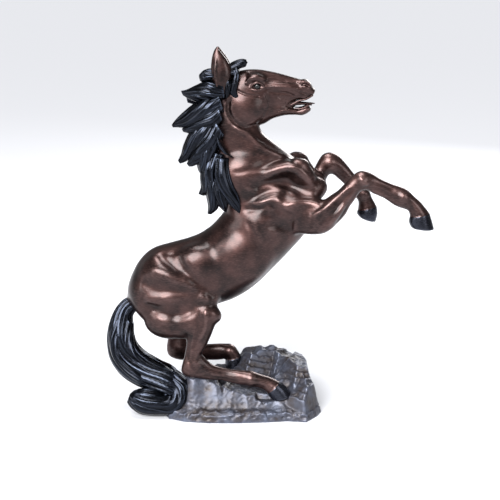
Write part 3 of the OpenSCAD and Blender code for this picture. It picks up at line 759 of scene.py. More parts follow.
def strandTree(material):
    # sweeps a grooved, flattened profile along every edge path, as wide as its "size" says
    tree = bpy.data.node_groups.new("strandTree", "GeometryNodeTree")
    tree.interface.new_socket("Geometry", in_out="INPUT", socket_type="NodeSocketGeometry")
    tree.interface.new_socket("Geometry", in_out="OUTPUT", socket_type="NodeSocketGeometry")
    sizes = {"Flatness": ("NodeSocketFloat", 0.7), "Grooves": ("NodeSocketFloat", 5.0),
             "Groove depth": ("NodeSocketFloat", 0.12), "Profile points": ("NodeSocketInt", 16)}
    sockets = {name: socketOf(tree, name, *size) for name, size in sizes.items()}
    given = node(tree, "NodeGroupInput").outputs
    paths = node(tree, "GeometryNodeMeshToCurve", {}, {"Mesh": given["Geometry"]})
    outward = node(tree, "GeometryNodeInputNamedAttribute", {"data_type": "FLOAT_VECTOR"},
                   {"Name": "outward"})
    turned = node(tree, "GeometryNodeSetCurveNormal", {"mode": "FREE"},
                  {"Curve": paths.outputs["Curve"], "Normal": outward.outputs["Attribute"]})
    ring = node(tree, "GeometryNodeCurvePrimitiveCircle", {},
                {"Resolution": given["Profile points"], "Radius": 1.0})
    factor = node(tree, "GeometryNodeSplineParameter").outputs["Factor"]
    angle = node(tree, "ShaderNodeMath", {"operation": "MULTIPLY"}, {0: factor, 1: 2 * math.pi})
    waves = node(tree, "ShaderNodeMath", {"operation": "MULTIPLY"},
                 {0: angle.outputs[0], 1: given["Grooves"]})
    wave = node(tree, "ShaderNodeMath", {"operation": "COSINE"}, {0: waves.outputs[0]})
    swell = node(tree, "ShaderNodeMath", {"operation": "MULTIPLY_ADD"},
                 {0: wave.outputs[0], 1: given["Groove depth"], 2: 1.0})
    place = node(tree, "GeometryNodeInputPosition").outputs[0]
    grown = node(tree, "ShaderNodeVectorMath", {"operation": "SCALE"},
                 {0: place, "Scale": swell.outputs[0]})
    squeeze = node(tree, "ShaderNodeCombineXYZ", {},
                   {"X": given["Flatness"], "Y": 1.0, "Z": 1.0})
    flat = node(tree, "ShaderNodeVectorMath", {"operation": "MULTIPLY"},
                {0: grown.outputs[0], 1: squeeze.outputs[0]})
    profile = node(tree, "GeometryNodeSetPosition", {},
                   {"Geometry": ring.outputs["Curve"], "Position": flat.outputs[0]})
    size = node(tree, "GeometryNodeInputNamedAttribute", {"data_type": "FLOAT"}, {"Name": "size"})
    swept = node(tree, "GeometryNodeCurveToMesh", {},
                 {"Curve": turned.outputs["Curve"], "Profile Curve": profile.outputs["Geometry"],
                  "Scale": size.outputs["Attribute"], "Fill Caps": True})
    smooth = node(tree, "GeometryNodeSetShadeSmooth", {}, {"Geometry": swept.outputs["Mesh"]})
    real = node(tree, "GeometryNodeRealizeInstances", {}, {"Geometry": smooth.outputs["Geometry"]})
    shown = node(tree, "GeometryNodeSetMaterial", {},
                 {"Geometry": real.outputs["Geometry"], "Material": material})
    node(tree, "NodeGroupOutput", {}, {"Geometry": shown.outputs["Geometry"]})
    return tree, sockets


def sweepStrands(name, strands, material, settings):
    # strands: lists of (place, outward, size); returns one plain mesh
    mesh = bpy.data.meshes.new(name + "_paths")
    points = [p for strand in strands for p in strand]
    edges, start = [], 0
    for strand in strands:
        edges += [(start + n, start + n + 1) for n in range(len(strand) - 1)]
        start += len(strand)
    mesh.from_pydata([np.array(p[0]) * mm for p in points], edges, [])
    mesh.attributes.new("outward", "FLOAT_VECTOR", "POINT").data.foreach_set(
        "vector", np.array([p[1] for p in points], np.float32).ravel())
    mesh.attributes.new("size", "FLOAT", "POINT").data.foreach_set(
        "value", np.array([p[2] * mm for p in points], np.float32))
    holder = pieceOf(name + "_paths", mesh)
    tree, sockets = strandTree(material)
    modifier = holder.modifiers.new("strands", "NODES")
    modifier.node_group = tree
    for key, value in settings.items():
        modifier[sockets[key]] = value
    bpy.context.view_layer.update()
    graph = bpy.context.evaluated_depsgraph_get()
    swept = bpy.data.meshes.new_from_object(holder.evaluated_get(graph))
    holder.modifiers.remove(modifier)
    bpy.data.objects.remove(holder)
    bpy.data.node_groups.remove(tree)
    return swept


def lockFrame(fine):
    # the middle of each row, and the half that reaches from it to the row's front edge
    middle = np.stack([(fine[:, 0] + fine[:, 2]) / 2, fine[:, 4], (fine[:, 1] + fine[:, 3]) / 2], 1)
    half = np.stack([(fine[:, 0] - fine[:, 2]) / 2, 0 * fine[:, 4], (fine[:, 1] - fine[:, 3]) / 2], 1)
    return middle, half


def lockStrands(rows, count, thick, rng):
    # a few strands laid round a lock, all of them running out to its tip
    fine = smoothRows(rows, 6)
    middle, half = lockFrame(fine)
    last = len(fine) - 1
    strands = []
    for n in range(count):
        angle = 2 * math.pi * (n + rng.uniform(-0.4, 0.4)) / count
        sway, phase = rng.uniform(0.1, 0.3), rng.uniform(0, 6.3)
        begin = int(last * rng.uniform(0, 0.08))
        end = last - int(last * rng.uniform(0, 0.1))
        size = thick * rng.uniform(0.6, 1.2)
        strand = []
        for k in range(begin, end + 1):
            along = (k - begin) / max(end - begin, 1)
            turn = angle + sway * math.sin(5 * k / last + phase)
            c, s = math.cos(turn), math.sin(turn)
            tall, wide = np.linalg.norm(half[k]), fine[k, 5]
            normal = half[k] / tall * (c / tall) + np.array([0, s / wide, 0])
            normal /= np.linalg.norm(normal)
            taper = math.sin(math.pi * min(0.06 + 0.94 * along, 1)) ** 0.7 if along < 1 else 0
            width = max(size * taper * min(1, (min(tall, wide) + 2) / 12), 0.25)
            skin = middle[k] + half[k] * c + np.array([0, s * wide, 0])
            strand.append((skin - normal * 0.3 * width, normal, width))
        if len(strand) > 3:
            strands.append(strand)
    return strands


def lockCore(rows, finish, rng):
    # a lock as one solid, with ridges of uneven width that wind along it
    fine = smoothRows(rows, 12)
    middle, half = lockFrame(fine)
    around, last = finish["around"], len(fine) - 1
    girth = np.mean([math.hypot(*half[k][[0, 2]]) + fine[k, 5] for k in range(last + 1)])
    ridges = max(3, round(girth * finish["ridgesPerMm"]))
    phases = rng.uniform(0, 6.28, 4)
    angles = 2 * math.pi * np.arange(around) / around
    points, faces = [], []
    for k in range(last + 1):
        t = k / last
        wind = finish["wind"] * math.sin(2.6 * t + phases[0]) + 0.2 * math.sin(6 * t + phases[1])
        turned = angles + wind
        uneven = (turned + 0.35 * np.sin(turned * 2 + phases[2]) / 2
                  + 0.3 * np.sin(turned * 3 + phases[3]) / 3)
        bold = np.abs(np.sin(uneven * ridges / 2)) ** 0.7
        thin = np.abs(np.sin(turned * ridges * 1.5 + phases[1]))
        tall, wide = np.linalg.norm(half[k]), fine[k, 5]
        least = min(tall, wide)
        deep = finish["ridgeDepth"] * min(1, least / 9)
        out = deep * (bold - 0.75 + 0.22 * thin)
        ring = (middle[k] + np.outer(np.cos(angles) * (1 + out / tall), half[k])
                + np.outer(np.sin(angles) * (wide + out), (0, 1, 0)))
        points += list(ring)
    for k in range(last):
        for n in range(around):
            m = (n + 1) % around
            low, high = k * around, (k + 1) * around
            faces.append([low + n, low + m, high + m, high + n])
    for ring in (0, last):
        points.append(np.mean(points[ring * around:(ring + 1) * around], axis=0))
        faces += [[ring * around + n, ring * around + (n + 1) % around, len(points) - 1]
                  for n in range(around)]
    return points, faces


def makeHair(name, locks, material, seed, finish):
    # each lock is a core with strands that run along it
    rng = np.random.default_rng(seed)
    whole = bmesh.new()
    for rows in locks:
        points, faces = lockCore(rows, finish, rng)
        verts = [whole.verts.new(np.array(p) * mm) for p in points]
        for face in faces:
            whole.faces.new([verts[n] for n in face])
    bmesh.ops.recalc_face_normals(whole, faces=whole.faces[:])
    mesh = bpy.data.meshes.new(name)
    whole.to_mesh(mesh)
    whole.free()
    strands = []
    for rows in locks:
        girth = sum(math.hypot(r[0] - r[2], r[1] - r[3]) / 2 + r[5] for r in rows) / len(rows)
        count = int(np.clip(girth * finish["strandsPerMm"], 4, 18))
        strands += lockStrands(rows, count, finish["thickness"], rng)
    profile = {"Flatness": finish["flatness"], "Grooves": finish["grooves"],
               "Groove depth": finish["depth"], "Profile points": finish["points"]}
    swept = sweepStrands(name, strands, material, profile)
    whole = bmesh.new()
    whole.from_mesh(mesh)
    whole.from_mesh(swept)
    for f in whole.faces:
        f.smooth = True
        f.material_index = 0
    whole.to_mesh(mesh)
    whole.free()
    bpy.data.meshes.remove(swept)
    keepRelief(mesh, finish["reliefTurns"], finish["reliefStrength"])
    return mesh


hairLocks = {
    # front or upper edge x, z, rear or lower edge x, z, y of the middle, half width
    "forelock": [
        [[-68, 556, -66, 542, -5, 8], [-56, 567, -54, 552, -6, 9], [-42, 573, -42, 559, -7, 8],
         [-32, 573, -33, 562, -8, 5], [-29, 569, -31, 565, -8, 2]],
        [[-60, 558, -66, 546, -10, 8], [-46, 562, -54, 548, -14, 8], [-42, 551, -54, 544, -18, 7],
         [-44, 538, -56, 532, -21, 6], [-46, 526, -56, 522, -22, 4.5], [-44, 518, -50, 516, -22, 1.5]],
        [[-62, 552, -70, 542, -10, 7], [-56, 548, -68, 536, -16, 7], [-54, 536, -66, 526, -20, 6],
         [-56, 524, -64, 518, -21, 4], [-60, 516, -63, 514, -21, 1.5]],
        [[-60, 558, -66, 546, 3, 8], [-46, 563, -54, 549, 9, 8], [-42, 552, -53, 544, 15, 7],
         [-44, 540, -54, 533, 19, 5], [-46, 528, -52, 525, 20, 2]]],
    "mane_upper": [
        [[-62, 552, -60, 534, -10, 9], [-82, 559, -78, 540, -12, 10], [-96, 557, -92, 540, -13, 8],
         [-104, 550, -96, 539, -13, 5.5], [-103, 541, -97, 537, -13, 2.5]],
        [[-68, 542, -64, 514, -12, 14], [-90, 542, -82, 510, -14, 15], [-108, 534, -102, 508, -13, 11],
         [-123, 527, -119, 512, -11, 6], [-133, 525, -130, 518, -10, 2]],
        [[-74, 522, -66, 494, -14, 16], [-96, 515, -84, 482, -16, 17], [-116, 503, -106, 474, -15, 14],
         [-132, 490, -126, 468, -14, 9], [-142, 480, -140, 468, -13, 5], [-148, 472, -146, 468, -13, 1.5]],
        [[-76, 508, -68, 480, -20, 12], [-92, 498, -82, 468, -23, 12], [-108, 486, -102, 462, -22, 10],
         [-122, 474, -119, 460, -20, 6], [-132, 467, -130, 462, -18, 2]],
        [[-70, 540, -62, 512, 10, 13], [-92, 538, -84, 506, 13, 13], [-110, 526, -106, 500, 12, 9],
         [-126, 514, -124, 504, 10, 3]],
        [[-76, 514, -68, 486, 13, 13], [-98, 504, -88, 474, 16, 14], [-116, 490, -110, 466, 15, 10],
         [-132, 476, -130, 466, 13, 3]]],
    "mane_middle": [
        [[-84, 488, -74, 462, -12, 16], [-104, 478, -92, 446, -16, 18], [-120, 461, -110, 430, -17, 15],
         [-130, 440, -122, 418, -16, 10], [-134, 426, -130, 413, -15, 5], [-139, 416, -136, 411, -15, 1.5]],
        [[-80, 482, -66, 458, -22, 12], [-94, 466, -80, 438, -26, 13], [-110, 446, -100, 418, -25, 12],
         [-120, 424, -114, 409, -22, 7], [-125, 412, -121, 407, -20, 2]],
        [[-88, 460, -68, 440, -15, 17], [-104, 442, -84, 416, -19, 19], [-109, 421, -90, 400, -20, 15],
         [-108, 405, -96, 392, -19, 9], [-104, 395, -98, 388, -18, 3]],
        [[-82, 466, -70, 450, -24, 10], [-78, 446, -62, 436, -28, 10], [-68, 434, -56, 426, -30, 7],
         [-55, 427, -50, 423, -31, 2]],
        [[-84, 486, -74, 460, 12, 15], [-104, 470, -92, 442, 16, 16], [-118, 450, -108, 424, 16, 13],
         [-129, 428, -123, 412, 14, 4]],
        [[-88, 456, -68, 438, 13, 15], [-104, 436, -86, 412, 17, 16], [-108, 412, -94, 394, 17, 10],
         [-104, 396, -98, 388, 16, 3]]],
    "mane_lower": [
        [[-90, 434, -64, 426, -13, 17], [-101, 412, -72, 402, -18, 20], [-104, 390, -78, 380, -20, 17],
         [-103, 374, -86, 364, -19, 11], [-107, 363, -99, 360, -18, 3]],
        [[-84, 424, -58, 422, -22, 14], [-84, 400, -52, 396, -26, 17], [-78, 378, -46, 374, -30, 15],
         [-68, 360, -42, 358, -33, 11], [-56, 347, -40, 344, -35, 6], [-46, 338, -41, 335, -36, 2]],
        [[-92, 408, -70, 402, -16, 16], [-97, 384, -74, 378, -21, 16], [-95, 362, -73, 358, -24, 14],
         [-92, 345, -77, 341, -24, 9], [-93, 332, -87, 331, -23, 2.5]],
        [[-86, 392, -64, 388, -24, 14], [-84, 368, -60, 364, -28, 14], [-78, 351, -61, 346, -31, 10],
         [-70, 341, -63, 336, -32, 3]],
        [[-90, 432, -60, 426, 11, 16], [-99, 406, -68, 400, 16, 18], [-98, 382, -72, 376, 18, 15],
         [-94, 362, -80, 356, 17, 9], [-90, 348, -84, 345, 15, 3]]],
    "tail": [
        [[-216, 191, -204, 172, 0, 9], [-235, 180, -217, 158, -2, 12], [-249, 162, -218, 144, -4, 16],
         [-258, 136, -217, 127, -8, 21], [-260, 110, -210, 108, -10, 24], [-255, 84, -194, 93, -14, 26],
         [-239, 62, -171, 83, -22, 25], [-215, 47, -151, 75, -30, 23], [-189, 39, -137, 60, -38, 20],
         [-171, 36, -132, 44, -44, 15]],
        [[-246, 158, -232, 146, -12, 8], [-256, 128, -238, 122, -20, 11], [-252, 98, -232, 100, -27, 11],
         [-236, 74, -214, 84, -35, 10], [-212, 56, -196, 66, -43, 8], [-190, 46, -181, 53, -47, 3]],
        [[-228, 156, -216, 144, -9, 8], [-234, 128, -214, 122, -20, 10], [-228, 104, -204, 104, -28, 10],
         [-208, 86, -184, 92, -34, 9], [-182, 76, -164, 82, -39, 7], [-160, 68, -151, 72, -41, 2]],
        [[-150, 74, -164, 50, -32, 15], [-126, 56, -158, 44, -42, 17], [-124, 27, -160, 38, -49, 18],
         [-142, 5, -168, 40, -53, 18], [-172, 2, -182, 46, -54, 18], [-202, 4, -198, 48, -54, 17],
         [-218, 14, -212, 44, -54, 12], [-226, 24, -221, 38, -54, 4]]],
}
maneFinish = {"around": 96, "ridgesPerMm": 0.26, "ridgeDepth": 1.9, "wind": 0.9, "strandsPerMm": 0.1,
              "thickness": 1.9, "flatness": 0.7, "grooves": 3.0, "depth": 0.1, "points": 12,
              "reliefTurns": 8, "reliefStrength": 1.5}
tailFinish = {**maneFinish, "ridgesPerMm": 0.24, "ridgeDepth": 2.2, "wind": 1.2}


rockBase = {
    "block": {"low": (-180, -94, -4), "high": (100, 94, 98), "step": 1.32},
    "outline": [
        (92, -40), (84, -58), (66, -82), (34, -78), (0, -83), (-44, -86), (-92, -86), (-132, -80),
        (-158, -67), (-171, -38), (-170, 2), (-157, 37), (-133, 63), (-98, 79), (-58, 86), (-18, 87),
        (22, 83), (54, 70), (76, 46), (86, 14), (84, -12)],
    "rim": 13, "ground": 28, "wall": 7, "ledge": 8.5, "dip": 0.16, "facets": 5, "chips": 12, "seed": 7,
    # x, y, height, radii along x and y, slope of its top along x and y
    "rocks": [
        (-4, 52, 87, 34, 22, 0.14, 0.1), (30, 44, 76, 22, 26, -0.3, -0.1), (58, 12, 76, 26, 30, -0.25, 0.1),
        (40, -16, 56, 26, 26, -0.1, 0.35), (70, -24, 60, 20, 26, -0.5, 0.3), (-58, 40, 50, 26, 20, 0, 0),
        (-28, 20, 46, 30, 26, 0.1, 0.1), (-112, -36, 62, 30, 26, -0.05, 0.1),
        (-88, -62, 38, 34, 16, 0.1, 0.2),
        (-140, 8, 44, 24, 38, 0.2, 0), (-98, 30, 42, 28, 30, 0.1, -0.1), (-50, -48, 44, 30, 22, -0.25, 0.1),
        (-10, -20, 38, 34, 28, 0.1, 0.1), (22, -56, 28, 46, 20, 0, 0.05)],
    # x, y and top of each boss that a stud goes through, how wide it is, and where its underside lies
    "bosses": [(26, -49, 31), (-56, 40, 50), (-118, -45, 64)], "bossRadius": 11, "bossFoot": 12}
fullTurn = 6.28


def wavesOf(rng, x, y, scale, count=14):
    # seeded smooth noise: a sum of waves in random directions, from about -1 to 1
    total = 0
    for n in range(count):
        turn, phase = rng.uniform(0, fullTurn), rng.uniform(0, fullTurn)
        stretch = rng.uniform(0.6, 1.7)
        along = x * math.cos(turn) + y * math.sin(turn)
        total = total + np.sin(along * stretch * fullTurn / scale + phase)
    return total / math.sqrt(count)


def outlineDistance(outline, x, y):
    # distance outside a closed outline, below zero inside it
    best, inside = np.full(x.shape, 1e6), np.zeros(x.shape, bool)
    for (ax, ay), (bx, by) in zip(outline, outline[1:] + outline[:1]):
        dx, dy = bx - ax, by - ay
        t = np.clip(((x - ax) * dx + (y - ay) * dy) / (dx * dx + dy * dy), 0, 1)
        best = np.minimum(best, np.hypot(x - ax - t * dx, y - ay - t * dy))
        crosses = ((ay > y) != (by > y)) & (x < (bx - ax) * (y - ay) / (by - ay + 1e-9) + ax)
        inside ^= crosses
    return np.where(inside, -best, best)


def makeRock():
    rng = np.random.default_rng(rockBase["seed"])
    clay = Clay(rockBase["block"])
    ledge, dip, wall, facets = [rockBase[key] for key in ("ledge", "dip", "wall", "facets")]
    x = (clay.low[0] + clay.step * np.arange(clay.field.shape[0]))[:, None]
    y = (clay.low[1] + clay.step * np.arange(clay.field.shape[1]))[None, :]
    x, y = x + 0 * y, y + 0 * x
    warpX = x + 1.2 * wavesOf(rng, x, y, 60)
    warpY = y + 1.2 * wavesOf(rng, x, y, 60)
    edge = outlineDistance(rockBase["outline"], x, y)
    height = rockBase["ground"] + 2.5 * wavesOf(rng, x, y, 46)
    for cx, cy, top, rx, ry, slopeX, slopeY in rockBase["rocks"]:
        rock = top + slopeX * (x - cx) + slopeY * (y - cy)
        for k in range(facets):
            turn = 2 * math.pi * (k + rng.uniform(-0.3, 0.3)) / facets
            c, s = math.cos(turn), math.sin(turn)
            reach = math.hypot(rx * c, ry * s) * rng.uniform(0.62, 0.95)
            fall = rng.uniform(0.5, 1.8)
            side = top - fall * ((warpX - cx) * c + (warpY - cy) * s - reach)
            rock = np.minimum(rock, side)
        height = np.maximum(height, rock)
    # ledges, as in layered stone that dips
    level = height + dip * x + 3 * wavesOf(rng, x, y, 70)
    height = height - ledge * 0.16 * np.sin(level * fullTurn / ledge)
    # the edge climbs steeply from the rim, behind a shelf at the front
    rim = rockBase["rim"] + 1.2 * wavesOf(rng, x, y, 30)
    shelf = 4 + 13 * np.clip((-y - 20) / 30, 0, 1) * np.clip((60 - x) / 30, 0, 1)
    inwards = -edge - 1.2 * np.abs(wavesOf(rng, x, y, 60))
    steep = 1.7 + 3 * np.clip((x - 20) / 30, 0, 1)
    climb = rim + 0.35 * np.clip(inwards, 0, None) + steep * np.clip(inwards - shelf, 0, None)
    height = np.minimum(height, np.maximum(climb, rim - 2))
    for px, py, pz in rockBase["bosses"]:
        near = np.exp(-((x - px) ** 2 + (y - py) ** 2) / 13 ** 2)
        height = height + (pz - height) * np.clip(near * 1.4, 0, 1)
    # the hollow's ceiling follows the lowest stone near each point, smoothed
    floor = height.copy()
    for shift in range(1, 8):
        for axis in (0, 1):
            beside = np.minimum(np.roll(floor, shift, axis), np.roll(floor, -shift, axis))
            floor = np.minimum(floor, beside)
    for turn in range(10):
        floor = (floor + np.roll(floor, 1, 0) + np.roll(floor, -1, 0) + np.roll(floor, 1, 1)
                 + np.roll(floor, -1, 1)) / 5

    # small chips, as sines in random directions about 20 mm long
    count = rockBase["chips"]
    chipWaves = rng.normal(0, 0.32, (count, 3))
    chipWaves = np.hstack([chipWaves, rng.uniform(0, fullTurn, (count, 1))])

    def shape(px, py, pz):
        i = np.round((px[:, 0, 0] - clay.low[0]) / clay.step).astype(int)
        j = np.round((py[0, :, 0] - clay.low[1]) / clay.step).astype(int)
        top, out, ceiling = [v[np.ix_(i, j)][:, :, None] for v in (height, edge, floor)]
        chips = sum(np.sin(px * a + py * b + pz * c + d) for a, b, c, d in chipWaves)
        chips = np.abs(chips) / math.sqrt(count) * np.clip(pz / 8, 0, 1)
        strata = np.sin((pz + dip * px) * fullTurn / ledge * 0.8) * np.clip((pz - 14) / 8, 0, 1)
        flank = out + 0.12 * np.maximum(pz - 3, 0) + 1.6 * chips + 0.8 * (strata + 1)
        body = np.maximum((pz - top) * 0.6 + 0.7 * chips, flank)
        body = np.maximum(body, -pz)
        hollow = np.maximum((pz - ceiling + wall) * 0.8, out + wall + 2)
        for bx, by, bz in rockBase["bosses"]:
            post = np.minimum(rockBase["bossRadius"] - np.hypot(px - bx, py - by),
                              pz - rockBase["bossFoot"])
            hollow = np.maximum(hollow, post)
        return np.maximum(body, -hollow).astype(np.float32)

    clay.apply(shape, clay.low, rockBase["block"]["high"], 0.01)
    # the underside is made exactly flat
    points, quads = netOf(clay)
    points[:, 2] = np.where(points[:, 2] < 0.9, 0, points[:, 2])
    mesh = meshOf("rock", points, quads)
    keepRelief(mesh, 20)
    return mesh


class Wire:
    # one output of a material's node, so that shader maths reads as plain arithmetic
    def __init__(self, finish, socket):
        self.finish, self.socket = finish, socket

    def maths(self, operation, *values):
        return self.finish.node("Math", {"operation": operation}, dict(enumerate(values)))

    def __add__(self, other):
        return self.maths("ADD", self, other)

    def __mul__(self, other):
        return self.maths("MULTIPLY", self, other)

    def __sub__(self, other):
        return self.maths("SUBTRACT", self, other)

    def __rsub__(self, other):
        return self.maths("SUBTRACT", other, self)

    __radd__ = __add__
    __rmul__ = __mul__

    def clamped(self):
        return self.finish.node("Clamp", {}, {"Value": self})


class Finish:
    def __init__(self, name):
        self.material = bpy.data.materials.new(name)
        self.material.use_nodes = True
        self.tree = self.material.node_tree
        self.tree.nodes.clear()
        self.place = self.node("TexCoord", {}, {}, "Object")

    def node(self, kind, settings, inputs, output=0):
        made = self.tree.nodes.new("ShaderNode" + kind)
        for key, value in settings.items():
            setattr(made, key, value)
        for key, value in inputs.items():
            if isinstance(value, Wire):
                self.tree.links.new(value.socket, made.inputs[key])
            else:
                made.inputs[key].default_value = value
        return Wire(self, made.outputs[output]) if output is not None else None

    def noise(self, scale, detail, stretch=(1, 1, 1), turn=(0, 0, 0)):
        place = self.node("Mapping", {}, {"Vector": self.place, "Scale": stretch, "Rotation": turn})
        return self.node("TexNoise", {}, {"Vector": place, "Scale": scale, "Detail": detail})

    def mixed(self, factor, first, second):
        # indices 6 and 7 are the colour inputs of the Mix node, and output 2 its colour
        inputs = {0: factor}
        for key, colour in ((6, first), (7, second)):
            inputs[key] = colour if isinstance(colour, Wire) else (*colour, 1)
        return self.node("Mix", {"data_type": "RGBA"}, inputs, 2)

    def ranged(self, value, low, high):
        return self.node("MapRange", {}, {"Value": value, "From Min": low, "From Max": high})

    def relief(self):
        return self.node("Attribute", {"attribute_name": "relief"}, {}, "Fac")

    def close(self, shader, surface):
        # shader: fixed values; surface: what changes over the piece
        inputs = {**shader, **surface}
        output = self.node("BsdfPrincipled", {}, inputs)
        self.node("OutputMaterial", {}, {"Surface": output}, None)
        return self.material


def paint(red, green, blue):
    # an sRGB colour, 0 to 255, as the linear values that shaders take
    return tuple((v / 255 / 12.92) if v <= 10 else ((v / 255 + 0.055) / 1.055) ** 2.4
                 for v in (red, green, blue))


# two shades of the cast metal, the colour of rubbed ridges, which is also a painted highlight, the colour
# of the hollows, which is darker patina and painted shade, how the surface shines, the scales of its
# patches and brush marks, and how many millimetres of relief give the ridges their full colour
bronzeLook = {"dark": (28, 16, 15), "middle": (68, 46, 43), "ridgeWearAndHighlight": (140, 110, 106), "hollow": (10, 5, 5),
              "metallic": 0.92, "rough": 0.37, "coat": 0.4, "patches": 34.0, "brush": 190.0, "bump": 0.3,
              "span": 1.0, "stretch": (1, 1, 4)}
blackLook = {"dark": (11, 12, 16), "middle": (26, 29, 37), "ridgeWearAndHighlight": (72, 80, 96), "hollow": (3, 3, 4),
             "metallic": 0.95, "rough": 0.22, "coat": 0.1, "patches": 30.0, "brush": 300.0, "bump": 0.12,
             "span": 0.9, "stretch": (1, 1, 2)}
hoofLook = {"dark": (30, 31, 38), "middle": (50, 52, 61), "ridgeWearAndHighlight": (92, 96, 108), "hollow": (8, 8, 10),
            "metallic": 0.95, "rough": 0.28, "coat": 0.1, "patches": 40.0, "brush": 320.0, "bump": 0.25,
            "span": 1.0, "stretch": (1, 1, 4)}
rockLook = {"dark": (52, 45, 43), "middle": (74, 78, 91), "ridgeWearAndHighlight": (122, 131, 154), "hollow": (18, 13, 10),
            "metallic": 0.55, "rough": 0.44, "coat": 0.05, "patches": 40.0, "brush": 150.0, "bump": 0.4,
            "span": 1.4, "stretch": (1, 1, 1)}


def castFinish(name, look):
    f = Finish(name)
    patches = f.ranged(f.noise(look["patches"], 5.0), 0.35, 0.68)
    brushed = f.noise(look["brush"], 5.0, look["stretch"], (0.2, 0.6, 0))
    speckle = f.noise(1400.0, 3.0)
    relief = f.relief()
    # ridges: where the relief stands out; they take the worn, rubbed metal colour, which also serves as a
    # painted highlight
    ridges = f.ranged(relief, 0.08 * look["span"], 1.1 * look["span"])
    # hollows: where the relief sinks; they take a darker patina colour that is partly painted shade
    hollows = f.ranged(relief, -0.12 * look["span"], -1.4 * look["span"])
    colour = f.mixed(patches, paint(*look["dark"]), paint(*look["middle"]))
    # the ridges' colour comes through on ridges and along brush marks: real rubbed wear, lightened as well
    # to paint a highlight
    rubbedAndHighlight = (ridges * 0.4 + (brushed - 0.5) * 0.5).clamped()
    colour = f.mixed(rubbedAndHighlight, colour, paint(*look["ridgeWearAndHighlight"]))
    # painted shade, together with the darker patina, in the hollows
    colour = f.mixed(hollows * 0.85, colour, paint(*look["hollow"]))
    rough = look["rough"] + (brushed - 0.5) * 0.22 + hollows * 0.2 - ridges * 0.06
    bump = f.node("Bump", {}, {"Strength": look["bump"], "Distance": 0.0006,
                               "Height": brushed * 0.7 + speckle * 0.3})
    return f.close({"Metallic": look["metallic"], "Coat Weight": look["coat"], "Coat Roughness": 0.22},
                   {"Base Color": colour, "Roughness": rough, "Normal": bump})


def plainFinish(name, colour, metallic, rough):
    f = Finish(name)
    grain = f.noise(400.0, 4.0)
    tint = f.mixed(f.ranged(grain, 0.3, 0.7), paint(*[0.8 * v for v in colour]), paint(*colour))
    bump = f.node("Bump", {}, {"Strength": 0.1, "Distance": 0.0003, "Height": grain})
    return f.close({"Metallic": metallic},
                   {"Base Color": tint, "Roughness": rough + (grain - 0.5) * 0.1, "Normal": bump})


bronze = castFinish("brownBronze", bronzeLook)
black = castFinish("blackBronze", blackLook)
hoofBlack = castFinish("hoofBronze", hoofLook)
rock = castFinish("rockBronze", rockLook)
enamel = plainFinish("eyeEnamel", (8, 7, 8), 0.0, 0.06)
bareBronze = plainFinish("bareBronze", (176, 132, 84), 1.0, 0.34)
steel = plainFinish("fixingSteel", (176, 178, 182), 1.0, 0.3)
print("finishes are made")

horse = castHorse()
for name, piece in horse.items():
    slot, material = ("hoof_bronze", hoofBlack) if name.startswith("hoof") else ("brown_bronze", bronze)
    # the core plugs are filed flush with the torso's skin
    nodes = [name, "core_plugs"] if name == "torso" else [name]
    finishPiece(piece, material, slot, *nodes)
print("horse is cast and cut into", len(horse), "pieces")

for side, word in ((-1, "right"), (1, "left")):
    eye = pieceOf("eye_" + word + "_ball", makeEye(side))
    finishPiece(eye, enamel, "eye_enamel", "eye_" + word)
    ear = pieceOf("ear_" + word + "_shell", makeEar(side))
    finishPiece(ear, bronze, "brown_bronze", "ear_" + word)
finishPiece(pieceOf("tongue_skin", makeTongue()), bronze, "brown_bronze", "tongue")
print("eyes, ears and tongue are set in")

for number, (name, locks) in enumerate(hairLocks.items()):
    look = tailFinish if name == "tail" else maneFinish
    hair = pieceOf(name + "_locks", makeHair(name, locks, black, 11 + number, look))
    finishPiece(hair, black, "black_bronze", name)
print("mane, forelock and tail are combed")

finishPiece(pieceOf("rock_base_casting", makeRock()), rock, "rock_bronze", "rock_base")
print("rock base is chiselled")

fixings = {"seam_sleeves": bareBronze, "seam_dowels": bareBronze, "hoof_dowels": bareBronze,
           "mounting_studs": steel, "mounting_washers": steel, "mounting_nuts": steel}
for name, material in fixings.items():
    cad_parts[name].data.materials.clear()
    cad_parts[name].data.materials.append(material)
print("fixings have their metals")

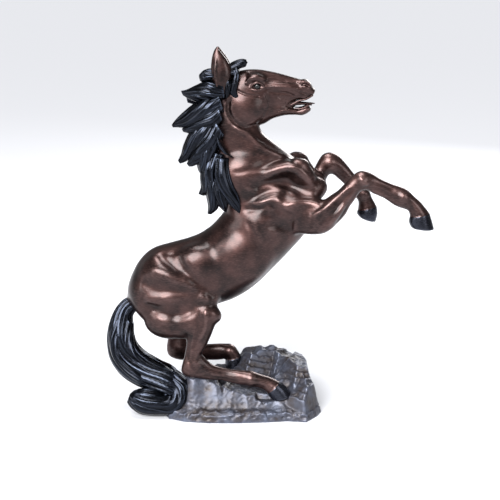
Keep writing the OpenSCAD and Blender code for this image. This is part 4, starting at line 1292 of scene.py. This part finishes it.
studio = {"floor": (208, 209, 213), "floorReach": 60000,
          "aim": (-0.0256, 0, 0.266), "distance": 1.9125, "height": 15, "lens": 85,
          # place, width, depth, power of each soft light
          "lights": {"front": ((1.3, -1.5, 0.9), 0.7, 0.9, 9), "left": ((-1.8, -1.1, 0.8), 0.7, 1.2, 12),
                     "above": ((-0.25, -0.1, 2.0), 1.1, 0.7, 30),
                     "behind": ((0.9, 1.9, 1.2), 1.0, 1.0, 26)},
          # where the broad main light comes from, how wide it looks in degrees, and its strength
          "main": ((-0.3, -0.79, 0.53), 38, 6.4),
          "sky": (0.97, 0.98, 1.0), "skyStrength": 0.2}


def setStudio():
    reach = studio["floorReach"]
    corners = [(-reach, -reach, 0), (reach, -reach, 0), (reach, reach, 0), (-reach, reach, 0)]
    floor = pieceOf("floor", meshOf("floor", corners, [(0, 1, 2, 3)]))
    matt = {"Base Color": (*paint(*studio["floor"]), 1), "Roughness": 1.0, "Specular IOR Level": 0.0}
    floor.data.materials.append(Finish("floorMatt").close(matt, {}))
    aim = Vector(studio["aim"])
    for name, (place, width, depth, power) in studio["lights"].items():
        light = bpy.data.lights.new(name, "AREA")
        light.shape = "RECTANGLE"
        light.size = width
        light.size_y = depth
        light.energy = power
        holder = pieceOf(name, light)
        holder.location = place
        holder.rotation_euler = (aim - holder.location).to_track_quat("-Z", "Y").to_euler()
    way, wide, strength = studio["main"]
    light = bpy.data.lights.new("main", "SUN")
    light.angle = math.radians(wide)
    light.energy = strength
    pieceOf("main", light).rotation_euler = Vector(way).to_track_quat("Z", "Y").to_euler()
    world = bpy.data.worlds.new("studioWorld")
    bpy.context.scene.world = world
    world.use_nodes = True
    sky = world.node_tree.nodes["Background"]
    sky.inputs["Color"].default_value = (*studio["sky"], 1)
    sky.inputs["Strength"].default_value = studio["skyStrength"]
    bpy.context.scene.view_settings.view_transform = "Standard"
    camera = pieceOf("camera", bpy.data.cameras.new("camera"))
    camera.data.lens = studio["lens"]
    tip = math.radians(studio["height"])
    camera.location = aim + Vector((0, -math.cos(tip), math.sin(tip))) * studio["distance"]
    camera.rotation_euler = (math.pi / 2 - tip, 0, 0)
    bpy.context.scene.camera = camera


setStudio()
print("studio is set")
